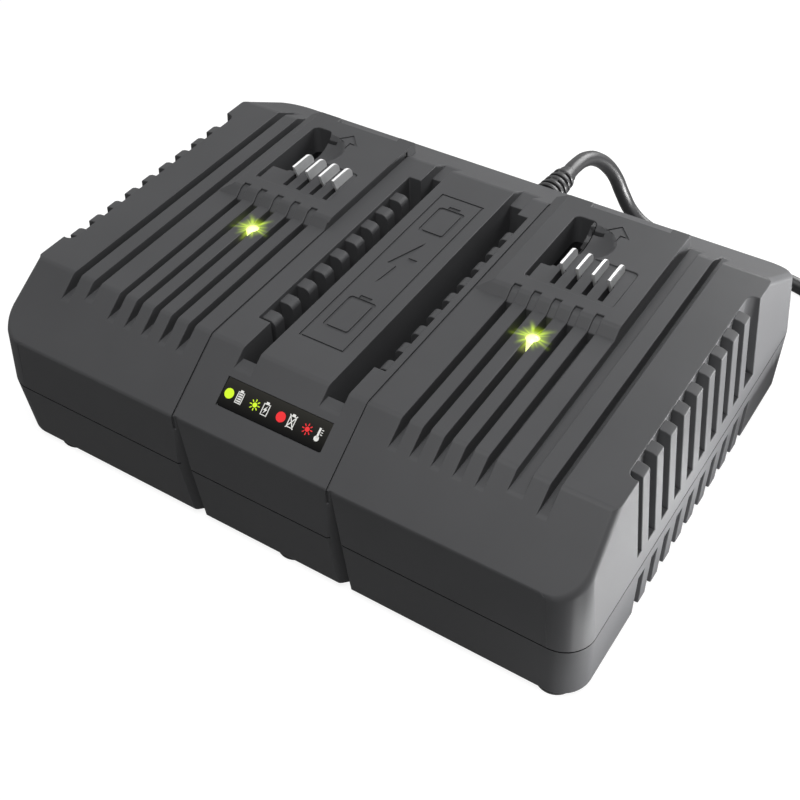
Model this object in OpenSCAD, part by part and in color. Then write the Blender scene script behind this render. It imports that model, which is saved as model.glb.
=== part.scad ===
// Twin charger for slide-on power tool batteries.
// Two bays lie on a vented housing, with a mains cord at the rear.
// The origin is on the surface it stands on, under the middle of the housing.

/* [Housing] */
// Width at the parting line
body_w = 240; // [232:1:250]
// Depth at the parting line
body_d = 182; // [176:1:190]
// Height of the flat tray that the batteries slide over
tray_h = 70.1; // [66:0.1:76]
// Height of the parting line between the two shells
part_h = 29.3; // [24:0.1:34]
// Height of the edges where the front and rear slopes begin
edge_h = 52; // [46:0.5:56]
// Length of the front slope, seen from above
front_run = 25.6; // [20:0.1:32]
// Length of the rear slope, seen from above
rear_run = 32.4; // [26:0.1:38]
// Wall thickness of both shells
wall = 3; // [2.4:0.1:3.6]
// Radius of the upright corners
corner_r = 11; // [6:0.5:16]
// How far each side leans in from the parting line to the tray
side_lean = 4.2; // [2:0.1:6]
// Height of the rubber feet
foot_h = 3; // [2:0.5:6]
// Diameter of the rubber feet
foot_d = 14; // [10:0.5:18]

/* [Bays] */
// Distance between the middles of the two bays
bay_pitch = 117.4; // [114:0.1:120]
// Height of the terminal platform above the tray
plat_rise = 3.1; // [2:0.1:4]
// Where the ramp up to the platform begins
ramp_y = 1.4; // [-4:0.1:6]
// Depth of the deep grooves
groove_depth = 6; // [4:0.1:6.5]
// Width of the short grooves in front of the platform
groove_w = 2.7; // [2:0.1:3.4]
// Distance between neighbouring short grooves
groove_pitch = 7.8; // [7:0.1:8.4]
// Diameter of the charge lamp in the middle groove
lens_d = 5; // [4:0.1:6]
// Distance of the charge lamp in front of the middle of the housing
lens_back = 10.8; // [8:0.1:16]

/* [Terminals] */
// Distance between neighbouring contact blades
blade_pitch = 6.07; // [5.6:0.01:6.4]
// Thickness of a contact blade
blade_t = 1; // [0.8:0.1:1.4]
// Height of the blade tops above the platform
blade_rise = 4.3; // [3:0.1:6]
// Front of the latch pocket beside the blades
pocket_y = 22; // [20:0.5:26]
// Length of the latch pocket
pocket_len = 31; // [26:0.5:32]

/* [Vents] */
// Distance between neighbouring ribs, fins and slots
vent_pitch = 10; // [9.5:0.1:10.4]
// Thickness of a rib or fin
rib_t = 5; // [4:0.1:6]
// Number of fins on each side
fin_count = 9; // [7:1:9]
// Half the width of the ridge between the two channels
ridge_half = 13.9; // [12:0.1:15]
// Height of the channel floor
channel_h = 48; // [44:0.5:54]

/* [Cord] */
// Diameter of the mains cord
cord_d = 6.5; // [6:0.1:7]
// Diameter across the middle of the coiled turns
coil_mid_d = 77; // [66:0.2:78]

/* [Hidden] */
$fn = 48;

// Colours
case_grey = [0.27, 0.27, 0.28];
rubber_black = [0.06, 0.06, 0.065];
steel_grey = [0.7, 0.71, 0.73];
board_green = [0.08, 0.3, 0.18];
copper = [0.72, 0.4, 0.2];
ferrite = [0.16, 0.16, 0.17];
lamp_green = [0.75, 0.88, 0.1];

// Housing
half_w = body_w / 2;
half_d = body_d / 2;
edge_in = 0.9;
front_crease = -half_d + edge_in + front_run;
rear_crease = half_d - edge_in - rear_run;
base_h = foot_h;
base_in_x = 0.3;
base_in_y = 1.9;
// Keeps the corner cylinders from just touching the sides
corner_ease = 0.03;
corner_cut_h = 60;
top_half = half_w - side_lean;
top_wall = 8.6;
ceiling_h = tray_h - top_wall;
plat_h = tray_h + plat_rise;
front_angle = atan((tray_h - edge_h) / front_run);
upper_path = [
    [-half_d, part_h], [edge_in - half_d, edge_h], [front_crease, tray_h],
    [rear_crease, tray_h], [half_d - edge_in, edge_h], [half_d, part_h]
];
upper_side_path = [
    [-half_w, part_h], [-top_half, tray_h], [top_half, tray_h], [half_w, part_h]
];
lower_path = [
    [half_d, part_h], [half_d - base_in_y, base_h],
    [base_in_y - half_d, base_h], [-half_d, part_h]
];
lower_side_path = [
    [half_w, part_h], [half_w - base_in_x, base_h],
    [base_in_x - half_w, base_h], [-half_w, part_h]
];
floor_h = base_h + wall;
// The fine groove under the parting line: its height and depth
parting_line = [0.6, 0.8];

// Seams between the bays and the middle
seam_xs = [-34.3, 29];
seam_w = 0.9;
seam_depth = 0.8;
notch_side = 8;
notch_fall = 48;
notch_in = 3;
notch_shift = 2;
// The solid behind a notch: to its left and right, and into the housing
notch_solid = [2.5, 8, 6];

// Long grooves: left edge from the bay's middle, width and depth, for each bay
long_grooves = [
    [[-38.8, 3.4, groove_depth], [-29.4, 3.4, 4.1]],
    [[24.1, 5.1, 4.3], [35.4, 3, groove_depth]]
];
short_count = 5;
short_slope_end = 7.5;
ramp_run = 3.6;
hook_depth = 1;

// Platform of each bay: left and right edge from the bay's middle
plat_edges = [[-26, 24.5], [-29.7, 24.1]];
plat_bevel = 5.5;
rail_end = rear_crease + 6.1;
plat_end = rear_crease + 3.5;
left_rail_w = 15.5;
right_rail_w = 7;

// Terminals: places from the bay's middle
blade_shift = [1.5, -1.5];
blade_count = 4;
first_blade = -4.6;
window_x = [-16.4, 17.5];
window_y = 12.5;
blade_area_end = 33.5;
pocket_w = 7.7;
pocket_floor_h = 53;
finger_drop = 1;
blade_floor_h = plat_h - 2.6;
block_base_h = 50;
fit_gap = 0.15;
blade_slot_w = 2;
blade_slot_y = 14;
blade_front = 20;
blade_rear = 32.6;
blade_tail_h = 44;
blade_rake = 2.4;
blade_back_r = 4.2;
// How far the tail of a blade is set in from its front and its rear
blade_tail_in = [5, 1.5];
// How far the block runs under the housing round its window, and the slots cut into it
block_out = 4;
block_back = 3;
step_gap = 2;
step_in = 2.5;
latch_slot = [1.8, 8];
blade_slot_depth = 7;
// The hollow that sweeps up behind the pocket, and the slit beside it
cove_r = 13;
cove_spot = [-6, pocket_y + 19, plat_h + 8];
slit_x = [-9, -3.4];
slit_y = [pocket_y + 26.6, pocket_y + 27.6];
slit_depth = 9;
arrow_spot = [1, pocket_y + 28];
arrow_depth = 0.5;

// Channels: inner and outer edge of each, and the outer edge of its rib bay
channel_walls = [[-20.8, -26], [21.5, 25.8]];
channel_y = [front_crease - 1, rear_crease - 3.1];
ledge_drop = 4.3;
rib_first_y = -47.9;
rib_bay_y = [-50, 46];
rib_floor_h = 53;
rib_drop = 1.7;
well_x = 28.4;
well_floor = channel_h - 2.5;

// Hollow under the ridge
ridge_hollow_y = [front_crease + 4.5, rear_crease - 9.7];

// Side vents
fin_bay_x = half_w - 8.2;
fin_bay_y = [-50.7, 46];
fin_floor_h = 36;
fin_first_y = -47.8;
fin_drop = 0.5;
slot_first_y = -48;
slot_w = 4.6;
slot_top_h = 22.7;
slot_full_h = 15;
slot_depth = 3.2;

// Fasteners
case_screw_x = half_w - 21;
case_screw_spots = [
    [-case_screw_x, 21 - half_d], [-14, 15 - half_d], [case_screw_x, 21 - half_d],
    [-case_screw_x, half_d - 23], [-14, half_d - 15], [case_screw_x, half_d - 23]
];
boss_r = 5;
screw_r = 1.5;
screw_head_r = 3.4;
screw_head_h = 2.4;
screw_bite = 10;
screw_seat_h = 12;
head_room = 0.4;
// Small screws: head radius, head height and shank radius, and the holes they pass or cut into
small_screw = [2.8, 2, 1.2];
small_hole_r = 1.3;
board_hole_r = 1.6;
post_hole_r = 1.25;
recess_share = 0.55;
recess_half = 0.35;
foot_xs = [22 - half_w, 6, half_w - 11];
foot_y = half_d - 9.5;
foot_stem_r = foot_d * 0.18;
foot_edge_r = 1.6;
foot_barb = [0.8, 1.6];

// Main board and what stands on it
board_h = 16;
board_t = 1.6;
deck = board_h + board_t;
board_x = half_w - 32;
board_y = half_d - 25;
post_r = 4;
board_screw_len = 8;
post_x = board_x - 6;
post_y = board_y - 8;
post_spots = [[-post_x, -post_y], [post_x, -post_y], [-post_x, post_y], [post_x, post_y]];

// Cord: exit and route behind the housing, then to the coil at its right
exit_x = 11;
exit_hole_r = 4.6;
exit_collar_r = 5.2;
collar_t = 2.6;
ring_count = 5;
ring_pitch = 3.4;
ring_t = 2;
// Radius of the first ring and of the sleeve under it, and how much each loses from ring to ring
ring_outer = [6.1, 0.3];
ring_inner = [4.6, 0.15];
exit_boss_y = half_d - 5.8;
exit_h = 46;
exit_y = half_d + 20;
cord_lie = cord_d / 2;
// The coil: a ring of round section, and where the cord joins and leaves it
coil_x = half_w + 67;
coil_y = half_d - 7;
coil_base = 1;
coil_mid_r = coil_mid_d / 2;
strand_r = 7;
ring_r = strand_r + cord_d / 2;
coil_h = coil_base + ring_r;
join_r = coil_mid_r + strand_r * cos(-45);
join_h = coil_h + strand_r * sin(-45);
leave_r = coil_mid_r + strand_r * cos(-6.4);
leave_h = coil_h + strand_r * sin(-6.4);
// How far from the coil's middle a cord on its outer turn clears the ring
coil_touch = sqrt(pow(coil_mid_r + ring_r, 2) - pow(leave_r - cord_d / 2, 2)) + 0.2;
cord_route = [
    [exit_x, exit_y, exit_h], [exit_x, exit_y + 5.5, exit_h],
    [exit_x + 0.7, exit_y + 15.1, exit_h - 1.5], [exit_x + 2.6, exit_y + 23.5, exit_h - 6],
    [exit_x + 5.6, exit_y + 29.7, exit_h - 12.8], [exit_x + 8.3, exit_y + 32.5, exit_h - 19],
    [exit_x + 11.2, exit_y + 33.5, exit_h - 25.7], [exit_x + 17.2, exit_y + 33.5, 11.4],
    [exit_x + 26.2, exit_y + 33.5, 5.6], [exit_x + 37, exit_y + 33.5, cord_lie + 0.5],
    [exit_x + 50, exit_y + 33.5, cord_lie + 0.1], [exit_x + 64, exit_y + 33.6, cord_lie],
    [exit_x + 77, exit_y + 33.6, cord_lie], [98, 144.3, cord_lie], [107, 143, cord_lie],
    [116, 139.8, cord_lie], [124, 135.9, cord_lie], [132, 132, cord_lie],
    [141, 128.8, cord_lie + 0.5],
    [coil_x - coil_touch - 12, coil_y + join_r, cord_lie + 1.5],
    [coil_x - coil_touch - 0.6, coil_y + join_r, join_h]
];
tail_x = coil_x + leave_r;
plug_y = coil_y - 58;
plug_h = 9.5;
tail_route = [
    [tail_x, coil_y - coil_touch, leave_h - 0.4], [tail_x, plug_y + 27, 8.5],
    [tail_x, plug_y + 20, 8], [tail_x, plug_y + 13, 8.3],
    [tail_x, plug_y + 6, plug_h], [tail_x, plug_y, plug_h]
];

// Path and placing helpers

function inward(a, b) = [(b - a)[1], -(b - a)[0]] / norm(b - a);

// Moves an open path inwards by t, with mitred corners.
function inset_path(p, t) = [
    for (i = [0 : len(p) - 1])
        let (
            before = inward(p[max(i - 1, 0)], p[max(i, 1)]),
            after = inward(p[min(i, len(p) - 2)], p[min(i + 1, len(p) - 1)])
        )
        p[i] + t * (before + after) / (1 + before * after)
];

// Lengthens both ends of an open path by the same step up or down.
function open_path(p, step) = concat([p[0] + [0, step]], p, [p[len(p) - 1] + [0, step]]);

function front_z(y) = tray_h - (front_crease - y) * (tray_h - edge_h) / front_run;
function rear_z(y) = tray_h - (y - rear_crease) * (tray_h - edge_h) / rear_run;
function side_x(z) = half_w - side_lean * (z - part_h) / (tray_h - part_h);
function bay_x(side) = (side == 0 ? -1 : 1) * bay_pitch / 2;
function unit(v) = v / norm(v);

module across_x(width) {
    rotate([90, 0, 90]) linear_extrude(width, center = true) children();
}

module across_y(depth) {
    rotate([90, 0, 0]) linear_extrude(depth, center = true) children();
}

module box(low, high) {
    translate(low) cube(high - low);
}

module flip_if(flag, v) {
    if (flag) mirror(v) children();
    else children();
}

module rounded_rect(low, high, r) {
    translate(low + [r, 0]) square(high - low - [2 * r, 0]);
    translate(low + [0, r]) square(high - low - [0, 2 * r]);
    for (x = [low[0] + r, high[0] - r], y = [low[1] + r, high[1] - r])
        translate([x, y]) circle(r);
}

module rounded_box(low, high, r) {
    translate([0, 0, low[2]])
        linear_extrude(high[2] - low[2])
            rounded_rect([low[0], low[1]], [high[0], high[1]], r);
}

// A tube with flat ends, swept along a route of points.
module swept_tube(route, r, sides) {
    last = len(route) - 1;
    rings = [
        for (i = [0 : last])
            let (
                along = unit(route[min(i + 1, last)] - route[max(i - 1, 0)]),
                side = unit(cross(along, [0, 0, 1])),
                up = cross(side, along)
            )
            for (k = [0 : sides - 1])
                route[i] + r * (cos(360 * k / sides) * side + sin(360 * k / sides) * up)
    ];
    walls = [
        for (i = [0 : last - 1], k = [0 : sides - 1])
            let (a = i * sides + k, b = i * sides + (k + 1) % sides)
            for (f = [[a, b, b + sides], [a, b + sides, a + sides]]) f
    ];
    caps = [
        [for (k = [sides - 1 : -1 : 0]) k],
        [for (k = [0 : sides - 1]) last * sides + k]
    ];
    polyhedron(rings, concat(walls, caps), convexity = 8);
}

// Housing shells

// Cuts the four upright corners of a shell round; up is 1 above the parting line.
module corner_cuts(face_in, side_in, rise, inset, up) {
    r = corner_r - inset;
    for (x_flip = [false, true], y_flip = [false, true])
        flip_if(x_flip, [1, 0, 0]) flip_if(y_flip, [0, 1, 0])
            translate([half_w - inset + corner_ease, half_d - inset + corner_ease, part_h])
            flip_if(up < 0, [0, 0, 1])
                rotate([atan(face_in / rise[0]), -atan(side_in / rise[1]), 0])
                    translate([-r, -r, -4]) difference() {
                        cube([2 * r, 2 * r, corner_cut_h]);
                        translate([0, 0, -1]) cylinder(r = r, h = corner_cut_h + 2);
                    }
}

module shell_solid(front_path, side_path, inset, step) {
    intersection() {
        across_x(2 * body_w) polygon(open_path(inset_path(front_path, inset), step));
        across_y(2 * body_d) polygon(open_path(inset_path(side_path, inset), step));
    }
}

module upper_solid(inset, step) {
    difference() {
        shell_solid(upper_path, upper_side_path, inset, step);
        corner_cuts(edge_in, side_lean, [edge_h - part_h, tray_h - part_h], inset, 1);
    }
}

module lower_solid(inset, step) {
    difference() {
        shell_solid(lower_path, lower_side_path, inset, step);
        corner_cuts(base_in_y, base_in_x, [part_h - base_h, part_h - base_h], inset, -1);
    }
}

// Solid backing behind the tapered notch that each seam ends in.
module notch_backing() {
    for (x = seam_xs)
        box([x - notch_solid[0], -half_d, base_h],
            [x + notch_solid[1], notch_solid[2] - half_d, edge_h - 1]);
}

// A notch that widens down the front, below each seam.
module seam_notch(x) {
    translate([x + 0.9, edge_in + 0.7 - half_d, edge_h])
        rotate([atan(notch_in / notch_fall), -atan(notch_shift / notch_fall), -135])
            translate([0, 0, -1.3 * notch_fall])
                cube([notch_side, notch_side, 1.3 * notch_fall + 2]);
}

module seam_line(x) {
    intersection() {
        translate([x, 0, 0]) across_x(seam_w) difference() {
            polygon(open_path(inset_path(upper_path, -2), -2));
            polygon(open_path(inset_path(upper_path, seam_depth), -4));
        }
        box([x - 1, -body_d, edge_h - 6], [x + 1, rear_crease, tray_h + 4]);
    }
}

module upper_cavity() {
    difference() {
        intersection() {
            upper_solid(wall, -1);
            box([-body_w, -body_d, 0], [body_w, body_d, ceiling_h]);
        }
        difference() {
            box([-well_x, front_crease - 4, well_floor], [well_x, rear_crease, tray_h]);
            box([wall - ridge_half, ridge_hollow_y[0], 0],
                [ridge_half - wall, ridge_hollow_y[1], tray_h - wall]);
        }
        for (x_flip = [false, true])
            flip_if(x_flip, [1, 0, 0])
                box([fin_bay_x - 2.5, fin_bay_y[0] - 3, fin_floor_h - 2.5],
                    [body_w, fin_bay_y[1] + 3, tray_h]);
        notch_backing();
        for (spot = case_screw_spots)
            translate([spot[0], spot[1], 0]) cylinder(r = boss_r - 0.6, h = tray_h);
        for (side = [0, 1], dx = [-lamp_post_x, lamp_post_x])
            translate([bay_x(side) + dx, -lens_back, indicator_h + indicator_size[2]])
                cylinder(r = lamp_post_r, h = 20);
        translate([exit_x, exit_boss_y, exit_h]) rotate([-90, 0, 0])
            cylinder(r = exit_hole_r + 3, h = 20);
    }
}

module platform(side) {
    x = bay_x(side);
    left = x + plat_edges[side][0];
    right = x + plat_edges[side][1];
    top = [
        [left, tray_h - 2], [left, tray_h], [left + plat_bevel, plat_h],
        [right, plat_h], [right, tray_h - 2]
    ];
    intersection() {
        across_y(2 * body_d) polygon(top);
        union() {
            platform_length(plat_end, left, right);
            platform_length(rail_end, left, left + left_rail_w);
            platform_length(rail_end, right - right_rail_w, right);
        }
    }
}

// A length of the platform from the ramp to its steep rear end.
module platform_length(end, x0, x1) {
    outline = [
        [ramp_y, tray_h - 2], [ramp_y, tray_h], [ramp_y + ramp_run, plat_h],
        [end - 0.8, plat_h], [end + 0.2, rear_z(end + 0.2) - 0.6],
        [rear_crease - 2, tray_h - 2]
    ];
    translate([(x0 + x1) / 2, 0, 0]) across_x(x1 - x0) polygon(outline);
}

module short_groove(x) {
    box([x - groove_w / 2, -half_d, tray_h - groove_depth],
        [x + groove_w / 2, ramp_y, plat_h + 2]);
    translate([x, 0, 0]) across_x(groove_w) polygon([
        [ramp_y - 0.1, tray_h - hook_depth], [ramp_y, tray_h - hook_depth],
        [ramp_y + ramp_run, plat_h - hook_depth], [short_slope_end, plat_h - hook_depth],
        [short_slope_end, plat_h + 2], [ramp_y - 0.1, plat_h + 2]
    ]);
}

module bay_grooves(side) {
    x = bay_x(side);
    for (k = [0 : short_count - 1])
        short_groove(x + (k - (short_count - 1) / 2) * groove_pitch);
    for (g = long_grooves[side])
        box([x + g[0], -half_d, tray_h - g[2]], [x + g[0] + g[1], half_d, plat_h + 2]);
}

module window_outline(gap) {
    pocket_end = pocket_y + pocket_len;
    rounded_rect([window_x[0] + gap, window_y + gap],
        [window_x[1] - gap, blade_area_end - gap], 1.5);
    rounded_rect([window_x[0] + gap, window_y + 5],
        [window_x[0] + pocket_w + 1.2 - gap, pocket_end - gap], 2.5);
}

// The hollow that sweeps up from the pocket to the platform, and its slit.
module pocket_cove() {
    translate(cove_spot) sphere(r = cove_r, $fn = 64);
    box([slit_x[0], slit_y[0], plat_h - slit_depth], [slit_x[1], slit_y[1], plat_h + 1]);
}

// An arrow on the platform that shows which way a battery slides on.
module slide_arrow() {
    translate([arrow_spot[0], arrow_spot[1], plat_h - arrow_depth]) linear_extrude(2) difference() {
        polygon([[-5.5, -1], [0, 5], [5.5, -1], [2.2, -1], [2.2, -5], [-2.2, -5], [-2.2, -1]]);
        polygon([
            [-3.6, -0.2], [0, 3.8], [3.6, -0.2], [1.5, -0.2], [1.5, -4.3], [-1.5, -4.3], [-1.5, -0.2]
        ]);
    }
}

module channel(wall_x, side) {
    x0 = min(side * ridge_half, wall_x);
    x1 = max(side * ridge_half, wall_x);
    box([x0, channel_y[0], channel_h], [x1, channel_y[1], tray_h + 4]);
    box([x0, -half_d, tray_h - ledge_drop], [x1, half_d, tray_h + 4]);
}

module rib_bay(wall_x, far_x) {
    low = min(wall_x - sign(far_x), far_x);
    high = max(wall_x - sign(far_x), far_x);
    rounded_box([low, rib_bay_y[0], rib_floor_h], [high, rib_bay_y[1], tray_h + 4], 0.4);
}

// A rib or fin outline: a square inner end and a rounded outer top edge.
function fin_outline(inner, outer, low, top, r) = concat(
    [[inner, low], [outer, low]],
    [for (a = [0 : 15 : 90]) [outer - r + r * cos(a), top - r + r * sin(a)]],
    [[inner, top]]
);

module channel_ribs(wall_x, far_x) {
    for (k = [0 : fin_count - 1])
        translate([0, rib_first_y + k * vent_pitch + rib_t / 2, 0])
            flip_if(far_x < 0, [1, 0, 0])
                across_y(rib_t) mirror([1, 0]) translate([-abs(far_x), 0])
                    polygon(fin_outline(-0.5, abs(far_x) - abs(wall_x),
                        rib_floor_h - 1, tray_h - rib_drop, 2.4));
}

module side_fin_bay() {
    x0 = fin_bay_x;
    rounded_box([x0, fin_bay_y[0], fin_floor_h], [half_w + 20, fin_bay_y[1], tray_h + 4], 3);
}

module side_fins() {
    intersection() {
        for (k = [0 : fin_count - 1])
            translate([0, fin_first_y + k * vent_pitch + rib_t / 2, 0])
                across_y(rib_t)
                    polygon(fin_outline(fin_bay_x - 1, half_w, fin_floor_h - 1, tray_h - fin_drop, 7.8));
        upper_solid(0, 0);
    }
}

// The marks engraved on the ridge: a frame, a bolt and two battery outlines
mark_depth = 0.6;
mark_low = [-9.15, -50];
mark_high = [9.15, 43];
mark_line = [0.8, 0.8];
bolt_outline = [[1.6, 14], [-4.6, -2.5], [-0.8, -2.5], [-2.2, -14], [4.6, 3.5], [0.7, 3.5]];
cell_half = 5.5;
cell_ys = [[-42, -24], [19, 35.5]];
cell_line = [1.2, 1.2];
cap_half = 2.4;
cap_y = [0.1, 1.8];

module battery_outline(y0, y1) {
    low = [-cell_half, y0];
    high = [cell_half, y1];
    difference() {
        rounded_rect(low, high, 1.5);
        rounded_rect(low + cell_line, high - cell_line, 0.8);
    }
    translate([-cap_half, y1 + cap_y[0]]) square([2 * cap_half, cap_y[1] - cap_y[0]]);
}

module ridge_mark() {
    translate([0, 0, tray_h - mark_depth]) linear_extrude(2) {
        difference() {
            translate(mark_low) square(mark_high - mark_low);
            translate(mark_low + mark_line) square(mark_high - mark_low - 2 * mark_line);
        }
        polygon(bolt_outline);
        for (y = cell_ys)
            battery_outline(y[0], y[1]);
    }
}

label_size = [42.6, 10.5];
label_back = half_d - 13.4;
label_t = 0.8;

module on_front_slope() {
    translate([0, -label_back, front_z(-label_back)]) rotate([front_angle, 0, 0]) children();
}

module upper_housing() {
    color(case_grey) {
        difference() {
            union() {
                difference() {
                    upper_solid(0, 0);
                    upper_cavity();
                }
                platform(0);
                platform(1);
            }
            for (side = [0, 1]) {
                bay_grooves(side);
                translate([bay_x(side), 0, 0]) {
                    translate([0, 0, ceiling_h - 1]) linear_extrude(20) window_outline(0);
                    pocket_cove();
                    slide_arrow();
                    translate([0, -lens_back, ceiling_h - 1]) cylinder(d = lens_d, h = 20);
                }
                channel(channel_walls[side][0], side * 2 - 1);
                rib_bay(channel_walls[side][0], channel_walls[side][1]);
                flip_if(side == 0, [1, 0, 0]) side_fin_bay();
                seam_line(seam_xs[side]);
                seam_notch(seam_xs[side]);
            }
            ridge_mark();
            on_front_slope()
                box([-label_size[0] / 2, -label_size[1] / 2, -label_t],
                    [label_size[0] / 2, label_size[1] / 2, 3]);
            for (spot = case_screw_spots)
                translate([spot[0], spot[1], part_h - 1]) cylinder(r = screw_r, h = 15);
            translate([exit_x, exit_boss_y - 1, exit_h]) rotate([-90, 0, 0])
                cylinder(r = exit_hole_r, h = 20);
        }
        for (side = [0, 1]) {
            channel_ribs(channel_walls[side][0], channel_walls[side][1]);
            flip_if(side == 0, [1, 0, 0]) side_fins();
        }
    }
}

module lower_cavity() {
    difference() {
        lower_solid(wall, 1);
        notch_backing();
        for (x_flip = [false, true])
            flip_if(x_flip, [1, 0, 0])
                box([half_w - 7, -52, 0], [body_w, 50, slot_top_h + 2]);
        for (spot = case_screw_spots)
            translate([spot[0], spot[1], 0]) cylinder(r = boss_r, h = 2 * part_h);
        for (spot = post_spots)
            translate([spot[0], spot[1], 0]) cylinder(r = post_r, h = board_h);
    }
}

module side_slots() {
    outer = half_w + 4;
    face = half_w - base_in_x;
    for (k = [0 : fin_count])
        translate([0, slot_first_y + k * vent_pitch + slot_w / 2, 0])
            across_y(slot_w) polygon([
                [face - slot_depth, base_h - 2], [face - slot_depth + 1, slot_full_h],
                [face, slot_top_h], [outer, slot_top_h], [outer, base_h - 2]
            ]);
}

module lower_housing() {
    color(case_grey) difference() {
        lower_solid(0, 0);
        lower_cavity();
        for (x_flip = [false, true])
            flip_if(x_flip, [1, 0, 0]) side_slots();
        for (x = seam_xs)
            seam_notch(x);
        difference() {
            box([-body_w, -body_d, part_h - parting_line[0]], [body_w, body_d, part_h + 1]);
            lower_solid(parting_line[1], 4);
        }
        for (spot = case_screw_spots)
            translate([spot[0], spot[1], 0]) {
                translate([0, 0, base_h - 1])
                    cylinder(r = screw_head_r + head_room, h = screw_seat_h - base_h + 1);
                cylinder(r = screw_r + head_room, h = part_h + 1);
            }
        for (spot = post_spots)
            translate([spot[0], spot[1], board_h - board_screw_len])
                cylinder(r = post_hole_r, h = board_screw_len + 2);
        for (x = foot_xs, y = [-foot_y, foot_y])
            translate([x, y, base_h - 1]) cylinder(r = foot_stem_r, h = wall + 2);
    }
}

module rubber_feet() {
    r = foot_d / 2;
    stem_r = foot_stem_r;
    color(rubber_black) for (x = foot_xs, y = [-foot_y, foot_y])
        translate([x, y, 0]) {
            rotate_extrude() polygon(concat(
                [[0, 0]],
                [
                    for (a = [-90 : 15 : 0])
                        [r + foot_edge_r * (cos(a) - 1), foot_edge_r * (1 + sin(a))]
                ],
                [
                    [r, base_h], [stem_r, base_h], [stem_r, floor_h], [stem_r + foot_barb[0], floor_h],
                    [stem_r, floor_h + foot_barb[1]], [0, floor_h + foot_barb[1]]
                ]
            ));
        }
}

module small_pan_screw(shank_len) {
    pan_screw(small_screw[0], small_screw[1], small_screw[2], shank_len);
}

module pan_screw(head_r, head_h, shank_r, shank_len) {
    difference() {
        union() {
            cylinder(r = head_r, h = head_h);
            translate([0, 0, head_h - 0.01]) cylinder(r = shank_r, h = shank_len);
        }
        for (turn = [0, 90])
            rotate(turn) translate([-head_r * recess_share, -recess_half, -1])
                cube([2 * head_r * recess_share, 2 * recess_half, 2]);
    }
}

module housing_screws() {
    color(steel_grey) for (spot = case_screw_spots)
        translate([spot[0], spot[1], screw_seat_h - screw_head_h])
            pan_screw(screw_head_r, screw_head_h, screw_r, part_h + screw_bite - screw_seat_h);
}

// Terminals

function blade_xs(side) = [
    for (k = [0 : blade_count - 1]) first_blade + blade_shift[side] + k * blade_pitch
];

module blade_outline() {
    top = plat_h + blade_rise;
    back = blade_rear - blade_back_r;
    heel = blade_front + 4;
    difference() {
        union() {
            polygon([
                [blade_front, top], [back, top], [back, blade_floor_h],
                [blade_front + blade_rake, blade_floor_h]
            ]);
            translate([back, top - blade_back_r]) circle(blade_back_r);
            translate([heel, blade_floor_h - 1])
                square([blade_rear - heel, top - blade_back_r + 1 - blade_floor_h]);
        }
        translate([0, blade_floor_h - 20]) square([60, 20]);
    }
    translate([blade_front + blade_tail_in[0], blade_tail_h])
        square([
            blade_rear - blade_front - blade_tail_in[0] - blade_tail_in[1],
            blade_floor_h - blade_tail_h
        ]);
}

module blades(side) {
    color([0.8, 0.8, 0.8]) for (x = blade_xs(side))
        translate([bay_x(side) + x, 0, 0]) across_x(blade_t) blade_outline();
}

module left_blades() blades(0);

module right_blades() blades(1);

module terminal_block(side) {
    xs = blade_xs(side);
    step_x = xs[0] - step_gap;
    pocket_end = pocket_y + pocket_len;
    color([0.2, 0.2, 0.21]) translate([bay_x(side), 0, 0]) difference() {
        union() {
            rounded_box([window_x[0] - block_out, window_y - block_out, block_base_h],
                [window_x[1] + block_out, pocket_end + block_back, ceiling_h], 3);
            translate([0, 0, ceiling_h])
                linear_extrude(plat_h - finger_drop - ceiling_h) window_outline(fit_gap);
        }
        // Latch pocket, with a step beside the first blade
        rounded_box([window_x[0], pocket_y, pocket_floor_h],
            [step_x - step_in, pocket_end, plat_h + 1], 1);
        box([window_x[0], pocket_y + 3, pocket_floor_h], [step_x, blade_area_end + 8, plat_h + 1]);
        box([window_x[0] - 1, pocket_y + 1, ceiling_h + 0.1],
            [step_x - 1, pocket_end + 1, plat_h + 1]);
        box([window_x[0] - 1, blade_slot_y - 0.5, plat_h - latch_slot[1]],
            [window_x[0] + latch_slot[0], pocket_y + 2, plat_h + 1]);
        // Sunk floor round the blades, with round-ended fingers in front of it
        difference() {
            box([step_x - 1, pocket_y, blade_floor_h], [window_x[1] + 1, blade_area_end + 1, plat_h + 1]);
            for (k = [0 : blade_count])
                translate([xs[0] + (k - 0.5) * blade_pitch, pocket_y, 0])
                    cylinder(r = blade_pitch / 2 - blade_slot_w / 2, h = plat_h + 2);
        }
        for (x = xs) {
            box([x - blade_slot_w / 2, blade_slot_y, plat_h - blade_slot_depth],
                [x + blade_slot_w / 2, pocket_y + 1, plat_h + 1]);
            translate([x, 0, 0]) across_x(blade_t) blade_outline();
        }
        for (spot = terminal_screw_spots)
            translate([spot[0], spot[1], block_base_h - 1]) cylinder(r = small_hole_r, h = 20);
        pocket_cove();
    }
}

terminal_screw_y = pocket_y + 24;
terminal_screw_spots = [[window_x[1] + 0.5, terminal_screw_y], [-2, terminal_screw_y]];

module left_terminal_block() terminal_block(0);

module right_terminal_block() terminal_block(1);

module terminal_screws() {
    color(steel_grey) for (side = [0, 1], spot = terminal_screw_spots)
        translate([bay_x(side) + spot[0], spot[1], block_base_h - small_screw[1]])
            small_pan_screw(ceiling_h - block_base_h - 0.5);
}

// Lamps and label

indicator_h = 50;
indicator_size = [24, 12, 1.2];
indicator_hole_r = 0.6;
lamp_post_x = 8;
lamp_post_r = 2;
led_r = 2.4;
led_h = 4.5;
led_flange = [0.5, 1];

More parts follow.
